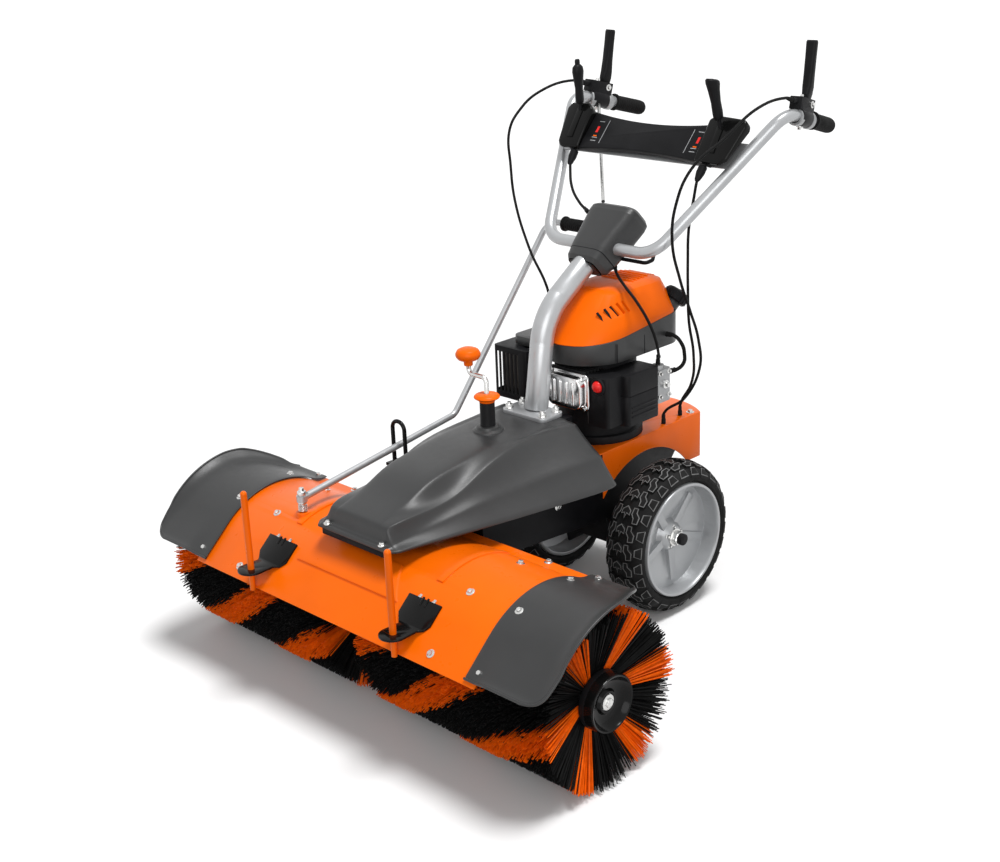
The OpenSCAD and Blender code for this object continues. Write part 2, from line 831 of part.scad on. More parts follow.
module air_filter_box() {
  color("#19191b") {
    difference() {
      union() {
        translate([119, 142, deck_z1 + 58]) round_box([64, 102, 106], 10);
        translate([106, 73, deck_z1 + 62]) round_box([58, 52, 104], 8);
      }
      translate([111, primer_y - 1, primer_z]) rotate([-90, 0, 0]) cylinder(h = 16, r = 12.5 + gap);
      translate([119, 142, deck_z1 + 120]) difference() {
        round_box([70, 110, 2], 10);
        translate([0, 0, -1]) round_box([61, 99, 4], 9);
      }
    }
  }
}

module primer_bulb() {
  color("#e8262a")
    translate([111, primer_y + 2, primer_z]) rotate([90, 0, 0])
      rotate_extrude() {
        square([12.5, 4]);
        intersection() {
          translate([0, 2]) circle(12.5);
          square([20, 20]);
        }
      }
}

module carburettor() {
  color("#8f9194") {
    translate([122, 222, deck_z1 + 76]) round_box([34, 46, 70], 8);
    translate([122, 222, deck_z1 + 146]) cylinder(h = 8, r = 12);
    translate([128, 248, deck_z1 + 132]) rotate([-90, 0, 0]) translate([0, 0, -4]) cylinder(h = 6, r = 6);
  }
}

module fuel_hose() {
  color("#161616") cable(route_hose, hose_r);
}

// Filler cap on a slanted neck at the back of the engine
module fuel_cap() {
  color("#19191b")
    aim(cap_at, cap_dir)
      translate([0, 0, neck_h - 10])
        rotate_extrude()
          polygon([
            [filler_r + run, 0], [cap_r - 3, 0], [cap_r, 2], [cap_r, 18], [cap_r - 3, 22], [cap_r - 8, 24],
            [0, 24], [0, 10 + gap], [filler_r + run, 10 + gap]]);
}

// Belt drive under the cover

module pulley(r, bore_r) {
  rotate_extrude()
    polygon([
      [bore_r, -7], [r + 6, -7], [r + 6, -5], [r - gap, -5], [r - gap, 5], [r + 6, 5], [r + 6, 7],
      [bore_r, 7]]);
}

module drive_pulley() {
  color("#77797c")
    translate([0, engine_y, belt_z]) {
      pulley(pulley_r, 0);
      cylinder(h = deck_z1 - belt_z - gap, r = 12);
    }
}

module brush_pulley() {
  color("#77797c")
    translate([0, brush_y, belt_z]) {
      pulley(pulley_r, 0);
      translate([0, 0, -90]) cylinder(h = 90, r = input_r);
    }
}

module belt_loop(r) {
  translate([0, engine_y]) circle(r);
  translate([0, brush_y]) circle(r);
  translate([-r, brush_y]) square([2 * r, engine_y - brush_y]);
}

module drive_belt() {
  color("#111111")
    translate([0, 0, belt_z - belt_t / 2]) linear_extrude(belt_t)
      difference() {
        belt_loop(pulley_r + 6.5);
        belt_loop(pulley_r);
      }
}

// Steering rod, its guide and its ball joint

module guide_loop() {
  foot = arm_z1 - 2;
  top = foot + 92;
  color("#0f0f0f") {
    bent_bar([
      [loop_x - loop_half, loop_y, foot - 3], [loop_x - loop_half, loop_y, top],
      [loop_x + loop_half, loop_y, top], [loop_x + loop_half, loop_y, foot - 3]],
      loop_half - 1, loop_r);
    translate([loop_x - 28, loop_y - 16, foot - 6]) cube([-frame_w / 2 - loop_x + 28, 32, 6]);
  }
}

module steering_rod() {
  eye = [stud_x, stud_y, eye_z];
  out = unit(steer_bend - eye);
  color("#b9bbbd")
    difference() {
      union() {
        bent_bar([eye + out * 4, steer_bend, steer_top, steer_end], 30, steer_r);
        translate([stud_x, stud_y, eye_z - eye_h / 2]) cylinder(h = eye_h, r = 11);
      }
      translate([stud_x, stud_y, eye_z - eye_h]) cylinder(h = 2 * eye_h, r = stud_r + run);
      translate([stud_x, stud_y, eye_z + eye_h / 2]) cylinder(h = eye_h, r = 14);
      translate([stud_x, stud_y, eye_z - 1.5 * eye_h]) cylinder(h = eye_h, r = 14);
    }
}

module steering_grip() {
  color("#1b1b1d")
    translate([steer_end[0] - 76, steer_end[1], steer_end[2]]) rotate([0, 90, 0])
      rotate_extrude()
        polygon([
          [steer_r + run, 0], [12, 0], [13.5, 4], [13.5, 76], [11, 84], [0, 84], [0, 76 + run],
          [steer_r + run, 76 + run]]);
}

module ball_stud() {
  color("#cfcfcd")
    translate([stud_x, stud_y, 0]) {
      translate([0, 0, stud_z + gap / 2]) cylinder(h = eye_z - stud_z + 22, r = stud_r - run);
      translate([0, 0, eye_z - eye_h / 2 - 4.5]) cylinder(h = 4, r = 9);
      translate([0, 0, eye_z + eye_h / 2 + gap]) cylinder(h = 9, r = 9, $fn = 6);
    }
}

// Coil spring round the stud, one unbroken tube
coil_turns = 5;
coil_r = 8.2;
coil_wire = 1;
coil_z0 = stud_z + coil_wire + 0.4;
coil_rise = (eye_z - eye_h / 2 - 4.5 - coil_wire - 0.4 - coil_z0) / coil_turns;
coil_steps = coil_turns * 8;
function coil_point(i) =
  [stud_x + coil_r * cos(45 * i), stud_y + coil_r * sin(45 * i), coil_z0 + coil_rise * i / 8];
function coil_ring(i) =
  let (out = [cos(45 * i), sin(45 * i), 0])
  [for (k = [0:5]) coil_point(i) + coil_wire * (cos(60 * k) * out + sin(60 * k) * [0, 0, 1])];
coil_gap = min([for (i = [0:coil_steps - 8]) norm(coil_point(i + 8) - coil_point(i))]) - 2 * coil_wire;
echo(least_gap_of_spring = coil_gap);

module stud_spring() {
  n = coil_steps;
  pts = [for (i = [0:n]) each coil_ring(i)];
  walls = [for (i = [0:n - 1], k = [0:5])
    let (a = 6 * i + k, b = 6 * i + (k + 1) % 6)
    each [[a, b, b + 6], [a, b + 6, a + 6]]];
  caps = [for (k = [1:4]) each [[0, k + 1, k], [6 * n, 6 * n + k, 6 * n + k + 1]]];
  color("#d5d5d3") polyhedron(pts, concat(walls, caps));
}

// Height crank on the belt cover

module crank_sleeve() {
  color("#1d1d1f")
    translate([0, crank_y, cover_top])
      difference() {
        union() {
          cylinder(h = 7, r = 20);
          cylinder(h = sleeve_h, r = 15);
        }
        translate([0, 0, 4]) cylinder(h = sleeve_h, r = crank_r + run);
      }
}

module mushroom(r, h, stem_r, bore_r) {
  rotate_extrude()
    difference() {
      polygon([
        [0, 0], [stem_r, 0], [stem_r, h * 0.3], [r * 0.8, h * 0.36], [r, h * 0.55], [r, h * 0.7],
        [r * 0.85, h * 0.9], [r * 0.5, h], [0, h]]);
      translate([-1, -1]) square([bore_r + 1, h + 2]);
    }
}

module sleeve_cap() {
  color("#f36a12")
    translate([0, crank_y, cover_top + sleeve_h]) mushroom(knob_d / 2, cap_h, 16, crank_r + run);
}

module crank() {
  color("#c9cbcd")
    bent_bar([
      [0, crank_y, cover_top + 10], [0, crank_y, crank_z + 32],
      [-crank_throw, crank_y, crank_z + 32], [-crank_throw, crank_y, crank_z + 78]], 11, crank_r);
}

module crank_knob() {
  color("#f36a12")
    translate([-crank_throw, crank_y, crank_z + 48]) {
      difference() {
        mushroom(knob_d / 2 - 1, 36, 9, 0);
        translate([0, 0, -1]) cylinder(h = 31 + run, r = crank_r + run);
      }
    }
}

// Held cables

module cable_clutch_left() {
  color("#101010") cable(route_clutch_left, cable_r);
}

module cable_clutch_right() {
  color("#101010") cable(route_clutch_right, cable_r);
}

module cable_shift_left() {
  color("#101010") cable(route_shift_left, cable_r);
}

module cable_shift_right() {
  color("#101010") cable(route_shift_right, cable_r);
}

module cable_throttle() {
  color("#101010") cable(route_throttle, cable_r);
}

// Wheels

lug_count = 26;

module tyre() {
  half = tyre_w / 2;
  r = wheel_d / 2;
  bead = rim_d / 2;
  translate([track_in / 2 + half, axle_y, axle_z])
    rotate([0, 90, 0])
      difference() {
        rotate_extrude($fn = 120)
          polygon([
            [bead + run, -half + 8], [bead + 6, -half + 1], [bead + 16, -half], [r - 20, -half + 3],
            [r - 11, -half + 9], [r - 4, -half + 22], [r, -half + 42], [r, half - 42], [r - 4, half - 22],
            [r - 11, half - 9], [r - 20, half - 3], [bead + 16, half], [bead + 6, half - 1],
            [bead + run, half - 8]]);
        for (i = [0:lug_count - 1], s = [-1, 1])
          rotate([0, 0, (i + s / 4) * 360 / lug_count])
            translate([r - 4, 0, s * (half - 8)]) rotate([s * 24, 0, 0]) cube([16, 9, 46], center = true);
      }
}

module tyre_right() {
  color("#1b1b1b") tyre();
}

module tyre_left() {
  color("#1b1b1b") mirror([1, 0, 0]) tyre();
}

// Dished rim with a bolted hub and five pressed ribs
module rim() {
  half = tyre_w / 2;
  r = rim_d / 2;
  hub_r = 30;
  bore = axle_d / 2 + run;
  translate([track_in / 2 + half, axle_y, axle_z])
    rotate([0, 90, 0])
      difference() {
        union() {
          rotate_extrude($fn = 96)
            polygon([
              [bore, -half], [hub_r, -half], [hub_r, -8], [r - 34, 4], [r - 9, 2], [r - 9, -half + 2],
              [r - 2, -half + 2], [r - run, -half + 9], [r - run, half - 9], [r - 2, half - 1],
              [r - 7, half - 1], [r - 9, half - 8], [r - 10, 10], [r - 34, 12], [hub_r + 8, 0], [hub_r, 12],
              [hub_r - 8, 20], [bore, 20]]);
          for (i = [0:4])
            rotate([0, 0, 72 * i])
              translate([hub_r - 4, -9, -2]) rotate([0, -6.5, 0]) cube([r - hub_r - 20, 18, 12]);
        }
        for (i = [0:4])
          rotate([0, 0, 72 * i + 36]) translate([hub_r - 8, 0, 10]) cylinder(h = 20, r = 4);
      }
}

module rim_right() {
  color("#a9abad") rim();
}

module rim_left() {
  color("#a9abad") mirror([1, 0, 0]) rim();
}

// Brush head

// Arch drawn as (y, z) between two radii and two angles
module arch(r0, r1, a0, a1) {
  translate([brush_y, hood_z])
    intersection() {
      difference() {
        circle(r1, $fn = 144);
        circle(r0, $fn = 144);
      }
      polygon([[0, 0], 2 * r1 * [cos(a0), sin(a0)], 2 * r1 * [cos((a0 + a1) / 2), sin((a0 + a1) / 2)],
        2 * r1 * [cos(a1), sin(a1)]]);
    }
}

// Arch with its flat flanges at the front and rear edges
module hood_profile(r, t) {
  arch(r - t, r, hood_a0, hood_a1);
  translate([brush_y, hood_z]) {
    rotate(hood_a1 - flange_turn) translate([r * cos(flange_turn) - t, r * sin(flange_turn) - 1])
      square([t, front_flange]);
    translate([r * cos(hood_a0) - 2, r * sin(hood_a0) - t]) square([rear_flange, t]);
  }
}

module hood() {
  half = hood_w / 2 + hood_lap;
  color("#f36a12")
    difference() {
      union() {
        across(2 * half, -half) hood_profile(hood_r, hood_t);
        both_sides() across(16, rib_x - 8) arch(hood_r - 1, hood_r + 3, hood_a0 + 6, hood_a1 - 22);
        intersection() {
          across(320, -160) arch(hood_r - 1, hood_r + 3, hood_a1 - 22, hood_a1 - 2);
          translate([0, brush_y, 0]) rotate([90, 0, 0]) linear_extrude(400)
            polygon([[-150, hood_z + 128], [150, hood_z + 128], [98, hood_z + 176], [-98, hood_z + 176]]);
        }
        translate([stud_x, stud_y, stud_z - 14]) cylinder(h = 14, r = 14);
      }
      translate([0, brush_y, hood_z + hood_r - 40]) cylinder(h = 60, r = neck_r + 3);
      translate([stud_x - 20, brush_y, hood_z]) rotate([0, 90, 0]) cylinder(h = 40, r = hood_r - hood_t - e);
    }
}

// End guard: its section, as (radius, x), flares into a lip at the outer end
guard_t = 3;
guard_r = hood_r + 0.8;
guard_end = hood_w / 2 + guard_w + 22;

// The flat flanges are a hair thinner than the arch that they leave
guard_thin = 0.3;

module guard_section(thin = 0) {
  start = hood_w / 2 + thin;
  foot = guard_end - 56;
  flare = [[0, 0], [18, 0.1], [36, 0.4], [48, 0.72], [56 - thin, 1]];
  r0 = guard_r + thin;
  r1 = guard_r + guard_t - thin;
  polygon(concat(
    [[r0, start]],
    [for (p = flare) [r0 + guard_lip * p[1], foot + p[0]]],
    [for (i = [4:-1:0]) [r1 + guard_lip * flare[i][1], foot + flare[i][0]]],
    [[r1, start]]));
}

module guard_corner() {
  r = 30;
  translate([guard_r - 50, front_flange - r, guard_end - r])
    difference() {
      cube([120, r + 20, r + 20]);
      translate([-1, 0, 0]) rotate([0, 90, 0]) cylinder(h = 130, r = r);
    }
}

module guard_right() {
  outer = guard_r + guard_t;
  translate([0, brush_y, hood_z]) rotate([90, 0, 90]) {
    rotate([0, 0, hood_a0])
      rotate_extrude(angle = hood_a1 - hood_a0, $fn = 144) guard_section();
    rotate([0, 0, hood_a1 - flange_turn])
      translate([guard_r * (cos(flange_turn) - 1), guard_r * sin(flange_turn) - 1, 0])
        difference() {
          translate([0, front_flange, 0]) rotate([90, 0, 0]) linear_extrude(front_flange)
            guard_section(guard_thin);
          guard_corner();
        }
    translate([outer * cos(hood_a0) - 2, outer * sin(hood_a0) - guard_t + guard_thin, hood_w / 2 + 1])
      cube([rear_flange, guard_t - 2 * guard_thin, guard_w - 36]);
  }
}

module end_guards() {
  color("#58585a") both_sides() guard_right();
}

// Folded plate on the hood's front slope; its level shelf carries a marker rod
module shelf_plan() {
  translate([rod_pitch / 2, shelf_y]) {
    circle(shelf_r);
    polygon([[-26, 0], [26, 0], [24, 34], [40, 52], [40, 120], [-43, 120], [-43, 52], [-24, 34]]);
  }
}

module shelf_profile() {
  front = shelf_y - shelf_r - 10;
  mitre = (lift + [0, 1]) * shelf_t / (1 + lift[1]);
  polygon([
    shelf_back, shelf_bend, [front, shelf_bend[1]], [front, shelf_z], shelf_bend + mitre,
    shelf_back + lift * shelf_t]);
}

module shelf_right() {
  difference() {
    intersection() {
      across(120, rod_pitch / 2 - 60) shelf_profile();
      translate([0, 0, shelf_z - 40]) linear_extrude(120) shelf_plan();
    }
    translate([rod_pitch / 2, shelf_y, shelf_z - 40]) cylinder(h = 60, r = rod_r - 1 + run);
  }
}

module marker_brackets() {
  color("#0d0d0d") both_sides() shelf_right();
}

module marker_rod() {
  translate([rod_pitch / 2, shelf_y, shelf_z]) {
    cylinder(h = rod_h, r = rod_r);
    translate([0, 0, -rod_foot]) cylinder(h = rod_foot + e, r = rod_r - 1);
    translate([0, 0, rod_h]) sphere(rod_r);
  }
}

module marker_rods() {
  color("#f36a12") both_sides() marker_rod();
}

module head_gearbox() {
  color("#242426")
    difference() {
      union() {
        translate([-gear_w / 2, brush_y, brush_z]) rotate([0, 90, 0]) cylinder(h = gear_w, r = 62);
        translate([0, brush_y, brush_z]) cylinder(h = arm_z0 - gap - brush_z, r = neck_r);
        translate([0, brush_y, arm_z0 - 6]) cylinder(h = arm_t + 6, r = journal_r);
        translate([0, brush_y, saddle_z - 6]) cylinder(h = 6, r = saddle_r);
      }
      translate([-gear_w, brush_y, brush_z]) rotate([0, 90, 0]) cylinder(h = 2 * gear_w, r = shaft_r + run);
      translate([0, brush_y, belt_z - 92]) cylinder(h = 200, r = input_r + run);
    }
}

// Brush

module brush_shaft() {
  color("#8b8d90")
    translate([-brush_w / 2 - disc_t - 4, brush_y, brush_z]) rotate([0, 90, 0])
      cylinder(h = brush_w + 2 * disc_t + 8, r = shaft_r);
}

strip_n = 6;
strip_a = 43;
tuft_rows = 10;
file_span = 360 / strip_n / 3;
band_twist = -110;
tip_size = 0.16;
root_size = 0.42;
band_r = core_d / 2;
band_in = band_r - 6;
core_r = band_in * cos((file_span - band_twist / tuft_rows) / 2) - 0.3;
band_x0 = gear_w / 2 + 10;
band_x1 = brush_w / 2 - 2;

module core_half() {
  translate([band_x0 - 4, brush_y, brush_z]) rotate([0, 90, 0])
    difference() {
      union() {
        cylinder(h = brush_w / 2 - band_x0 + 4, r = core_r);
        translate([0, 0, brush_w / 2 - band_x0 + 4]) cylinder(h = disc_t, r = disc_d / 2);
      }
      translate([0, 0, -1]) cylinder(h = brush_w, r = shaft_r + run);
      for (i = [0:5])
        rotate([0, 0, 60 * i]) translate([36, 0, brush_w / 2 - band_x0 + 4 + disc_t / 2])
          cylinder(h = disc_t, r = 10);
    }
}

module brush_core() {
  color("#141414") both_sides() core_half();
}

// Point on the brush at a distance along it, an angle and a radius
function on_brush(x, a, r) = [x, brush_y + r * cos(a), brush_z + r * sin(a)];

// One tuft per cell of a helical band; the cell's skin joins the root of its tuft to the band
function tuft_u(i) = band_x0 + (band_x1 - band_x0) * i / tuft_rows;
function tuft_a(i, j, start) = start + band_twist * i / tuft_rows + file_span * j;
function tuft_lean(u) = splay * pow(max(0, (u - band_x1 * 0.72) / (band_x1 * 0.28)), 2);

function cell_quad(i, j, start, size, r, lean) =
  let (
    u = (tuft_u(i) + tuft_u(i + 1)) / 2,
    du = (tuft_u(i + 1) - tuft_u(i)) / 2 * size,
    a = tuft_a(i + 0.5, j + 0.5, start),
    da = file_span / 2 * size)
  [for (c = [[-1, -1], [1, -1], [1, 1], [-1, 1]])
    on_brush(u + c[0] * du + (lean ? tuft_lean(u) : 0), a + c[1] * da, r)];

module bristle_band(start, files) {
  rows = tuft_rows;
  grid = (rows + 1) * (files + 1);
  cells = rows * files;
  top = [for (i = [0:rows], j = [0:files]) on_brush(tuft_u(i), tuft_a(i, j, start), band_r)];
  bottom = [for (i = [0:rows], j = [0:files]) on_brush(tuft_u(i), tuft_a(i, j, start), band_in)];
  roots = [for (i = [0:rows - 1], j = [0:files - 1]) each cell_quad(i, j, start, root_size, band_r, false)];
  tips = [for (i = [0:rows - 1], j = [0:files - 1]) each cell_quad(i, j, start, tip_size, brush_r, true)];
  root0 = 2 * grid;
  tip0 = root0 + 4 * cells;
  collars = [for (i = [0:rows - 1], j = [0:files - 1])
    let (
      g = i * (files + 1) + j,
      q = [g, g + files + 1, g + files + 2, g + 1],
      r = root0 + 4 * (i * files + j))
    for (k = [0:3])
      let (m = (k + 1) % 4)
      each [[q[k], r + m, q[m]], [q[k], r + k, r + m]]];
  shafts = [for (c = [0:cells - 1], k = [0:3])
    let (m = (k + 1) % 4, r = root0 + 4 * c, t = tip0 + 4 * c)
    each [[r + k, t + m, r + m], [r + k, t + k, t + m]]];
  ends = [for (c = [0:cells - 1])
    let (t = tip0 + 4 * c)
    each [[t, t + 2, t + 1], [t, t + 3, t + 2]]];
  floor_faces = [for (i = [0:rows - 1], j = [0:files - 1])
    let (g = grid + i * (files + 1) + j)
    each [[g, g + 1, g + files + 1], [g + 1, g + files + 2, g + files + 1]]];
  rows_sides = [for (i = [0:rows - 1], j = [0, files])
    let (a = i * (files + 1) + j, b = a + files + 1)
    each j == 0
      ? [[a, b + grid, b], [a, a + grid, b + grid]]
      : [[a, b, b + grid], [a, b + grid, a + grid]]];
  file_sides = [for (i = [0, rows], j = [0:files - 1])
    let (a = i * (files + 1) + j, b = a + 1)
    each i == 0
      ? [[a, b, b + grid], [a, b + grid, a + grid]]
      : [[a, b + grid, b], [a, a + grid, b + grid]]];
  polyhedron(concat(top, bottom, roots, tips),
    concat(collars, shafts, ends, floor_faces, rows_sides, file_sides));
}

// The left half is the right half turned round the brush's upright, so the helix keeps its hand
module bristles(start, files) {
  for (turn = [0, 180])
    translate([0, brush_y, 0]) rotate([0, 0, turn]) translate([0, -brush_y, 0])
      for (k = [0:strip_n - 1])
        bristle_band(start + 360 / strip_n * k, files);
}

module bristles_black() {
  color("#151515") bristles(strip_a + file_span, 2);
}

module bristles_orange() {
  color("#f2600f") bristles(strip_a, 1);
}

frame();
transmission();
deck();
belt_cover();
column();
column_bolts();
console();
engine_block();
engine_cowl();
engine_cover();
valve_cover();
muffler();
muffler_guard();
air_filter_box();
carburettor();
fuel_hose();
fuel_cap();
primer_bulb();
drive_pulley();
brush_pulley();
drive_belt();
guide_loop();
steering_rod();
steering_grip();
ball_stud();
stud_spring();
crank_sleeve();
sleeve_cap();
crank();
crank_knob();
handlebar();
grips();
lever_brackets();
lever_left();
lever_right();
dash_panel();
shift_boots();
shift_lever_left();
shift_lever_right();
shift_rod();
latch_loop();
cable_clutch_left();
cable_clutch_right();
cable_shift_left();
cable_shift_right();
cable_throttle();
tyre_left();
tyre_right();
rim_left();
rim_right();
hood();
end_guards();
marker_brackets();
marker_rods();
head_gearbox();
brush_shaft();
brush_core();
bristles_black();
bristles_orange();
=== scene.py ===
# %% [markdown]
# # A walk-behind power brush sweeper
# The solids of the machine come from a CAD model and are loaded as a fixed frame. This lesson dresses
# that frame: it sets the camera and the light, mixes the finishes, and then goes over the machine piece
# by piece, giving each one its real form. The frame is in metres. Shapes are written in millimetres and
# scaled down as they are built. X runs across the machine, Z up, and the brush leads along -Y.

# %% Load the frame
import json
import math
import random

import bmesh
import bpy
from mathutils import Euler, Matrix, Vector
from mathutils.bvhtree import BVHTree


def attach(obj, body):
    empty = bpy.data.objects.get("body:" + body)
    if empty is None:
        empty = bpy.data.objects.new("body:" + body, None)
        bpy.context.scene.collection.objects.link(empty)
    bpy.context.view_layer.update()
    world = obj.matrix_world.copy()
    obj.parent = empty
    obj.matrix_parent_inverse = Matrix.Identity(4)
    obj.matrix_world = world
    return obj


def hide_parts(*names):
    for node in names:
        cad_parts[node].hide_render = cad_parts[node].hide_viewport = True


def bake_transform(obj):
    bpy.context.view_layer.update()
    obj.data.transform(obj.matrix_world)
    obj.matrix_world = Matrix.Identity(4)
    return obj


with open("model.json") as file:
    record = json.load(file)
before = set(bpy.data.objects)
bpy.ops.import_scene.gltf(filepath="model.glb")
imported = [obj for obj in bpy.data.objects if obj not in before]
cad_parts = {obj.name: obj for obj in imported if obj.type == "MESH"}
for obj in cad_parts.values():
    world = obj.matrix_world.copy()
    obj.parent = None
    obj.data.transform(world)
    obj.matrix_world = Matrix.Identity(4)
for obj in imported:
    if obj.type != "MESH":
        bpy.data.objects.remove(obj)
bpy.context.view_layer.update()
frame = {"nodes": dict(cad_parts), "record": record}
nodes = frame["nodes"]
body_of = {n: b for b, ns in frame["record"]["behaviour"]["bodies"].items() for n in ns}
slot_of = {p["node"]: p["material_slot"] for p in frame["record"]["subparts"]}

# %% [markdown]
# The camera stands at the right front of the machine, a little above hand height, as in the
# photograph. Its axes are written out, because they were solved from points that mirror each other
# across the machine, and a focal length of about 55 mm goes with them.

# %% Camera
scene = bpy.context.scene
scene.view_settings.view_transform = "Standard"


def from_axes(x, y, z, at=(0, 0, 0)):
    """The matrix that carries the three main axes to x, y and z and the origin to a place."""
    return Matrix([(x[i], y[i], z[i], at[i]) for i in range(3)] + [(0, 0, 0, 1)])


right = Vector((0.7121, 0.7011, -0.0377))
up = Vector((-0.2157, 0.2696, 0.9385))
eye = Vector((2.023, -2.1234, 1.4975))
back = right.cross(up).normalized()
up = back.cross(right).normalized()
right.normalize()
cam_data = bpy.data.cameras.new("camera")
cam_data.lens = 54.78
cam_data.sensor_width = 36
cam_data.sensor_fit = "HORIZONTAL"
camera = bpy.data.objects.new("camera", cam_data)
camera.matrix_world = from_axes(right, up, back, eye)
scene.collection.objects.link(camera)
scene.camera = camera
print("camera looks along", [round(-v, 3) for v in back])

# %% [markdown]
# A studio picture has a pale floor without a visible edge, one broad soft light from above, a weaker one
# from the front right, and an even fill from everywhere. A sun with a wide angle gives the soft contact
# shadow. The world and the floor are dim as lamps, but what the camera and the metal see of them is
# nearly white, as in a light tent.

# %% Floor and light
floor_half, floor_drop = 60, 0.0005
floor_bounce, floor_shown = 0.4, 0.93
world_bounce, world_shown = 0.36, 1


def as_seen(tree, hidden, shown):
    """A level that is `shown` to the camera, metal and glass, and `hidden` to light that bounces on."""
    path = tree.nodes.new("ShaderNodeLightPath")
    seen = path.outputs["Is Camera Ray"]
    for ray in ("Is Glossy Ray", "Is Transmission Ray"):
        either = tree.nodes.new("ShaderNodeMath")
        either.operation = "MAXIMUM"
        tree.links.new(seen, either.inputs[0])
        tree.links.new(path.outputs[ray], either.inputs[1])
        seen = either.outputs["Value"]
    level = tree.nodes.new("ShaderNodeMapRange")
    level.inputs["To Min"].default_value = hidden
    level.inputs["To Max"].default_value = shown
    tree.links.new(seen, level.inputs["Value"])
    return level.outputs["Result"]


def sun(name, strength, angle, look):
    data = bpy.data.lights.new(name, "SUN")
    data.energy = strength
    data.angle = math.radians(angle)
    lamp = bpy.data.objects.new(name, data)
    lamp.rotation_euler = Vector(look).to_track_quat("-Z", "Y").to_euler()
    scene.collection.objects.link(lamp)


floor_mesh = bpy.data.meshes.new("floor")
bm = bmesh.new()
bmesh.ops.create_grid(bm, x_segments=1, y_segments=1, size=floor_half)
bm.to_mesh(floor_mesh)
bm.free()
floor = bpy.data.objects.new("floor", floor_mesh)
floor.location.z = -floor_drop
scene.collection.objects.link(floor)
pale = bpy.data.materials.new("pale_floor")
pale.use_nodes = True
floor_shader = pale.node_tree.nodes["Principled BSDF"]
floor_shader.inputs["Roughness"].default_value = 0.9
floor_shader.inputs["Specular IOR Level"].default_value = 0
floor_level = as_seen(pale.node_tree, floor_bounce, floor_shown)
pale.node_tree.links.new(floor_level, floor_shader.inputs["Base Color"])
floor_mesh.materials.append(pale)

world = bpy.data.worlds.new("studio")
world.use_nodes = True
backdrop = world.node_tree.nodes["Background"]
backdrop.inputs["Color"].default_value = (1, 1, 1, 1)
world_level = as_seen(world.node_tree, world_bounce, world_shown)
world.node_tree.links.new(world_level, backdrop.inputs["Strength"])
scene.world = world

sun("key", strength=2.5, angle=20, look=(-0.2, -0.1, -1.0))
sun("fill", strength=1.0, angle=40, look=(-0.6, 0.65, -0.35))

# %% [markdown]
# Paint, moulded plastic, rubber and bare metal all differ in two things: how sharp the reflection is and
# how even the surface is. One helper builds a finish from a colour, a roughness and a grain: a noise
# texture in Object coordinates shifts the colour a little, a finer one moves the roughness, and the
# finest is a bump. The same helper with other numbers gives every finish on the machine.

# %% Finishes
coat_rough = 0.12
rough_swing, smoothest = 0.08, 0.02
grain_depth = 0.001


def finish(name, colour, rough, metal=0.0, vary=0.12, scale=30, grain=900, bump=0.04, coat=0.0, dust=0.0,
           spec=0.3):
    mat = bpy.data.materials.new(name)
    mat.use_nodes = True
    tree = mat.node_tree
    shader = tree.nodes["Principled BSDF"]
    shader.inputs["Metallic"].default_value = metal
    shader.inputs["Coat Weight"].default_value = coat
    shader.inputs["Specular IOR Level"].default_value = spec
    shader.inputs["Coat Roughness"].default_value = coat_rough
    place = tree.nodes.new("ShaderNodeTexCoord")

    def noise(size, detail):
        tex = tree.nodes.new("ShaderNodeTexNoise")
        tex.inputs["Scale"].default_value = size
        tex.inputs["Detail"].default_value = detail
        tree.links.new(place.outputs["Object"], tex.inputs["Vector"])
        return tex

    broad = noise(scale, 4)
    ramp = tree.nodes.new("ShaderNodeValToRGB")
    dark, light = ramp.color_ramp.elements
    dark.position, light.position = 0.3, 0.7
    dark.color = (*[c * (1 - vary) for c in colour], 1)
    light.color = (*[min(1, c * (1 + vary) + dust) for c in colour], 1)
    tree.links.new(broad.outputs["Fac"], ramp.inputs["Fac"])
    tree.links.new(ramp.outputs["Color"], shader.inputs["Base Color"])
    fine = noise(scale * 5, 6)
    spread = tree.nodes.new("ShaderNodeMapRange")
    spread.inputs["To Min"].default_value = max(smoothest, rough - rough_swing)
    spread.inputs["To Max"].default_value = min(1, rough + rough_swing)
    tree.links.new(fine.outputs["Fac"], spread.inputs["Value"])
    tree.links.new(spread.outputs["Result"], shader.inputs["Roughness"])
    pits = noise(grain, 3)
    relief = tree.nodes.new("ShaderNodeBump")
    relief.inputs["Strength"].default_value = bump
    relief.inputs["Distance"].default_value = grain_depth
    tree.links.new(pits.outputs["Fac"], relief.inputs["Height"])
    tree.links.new(relief.outputs["Normal"], shader.inputs["Normal"])
    return mat


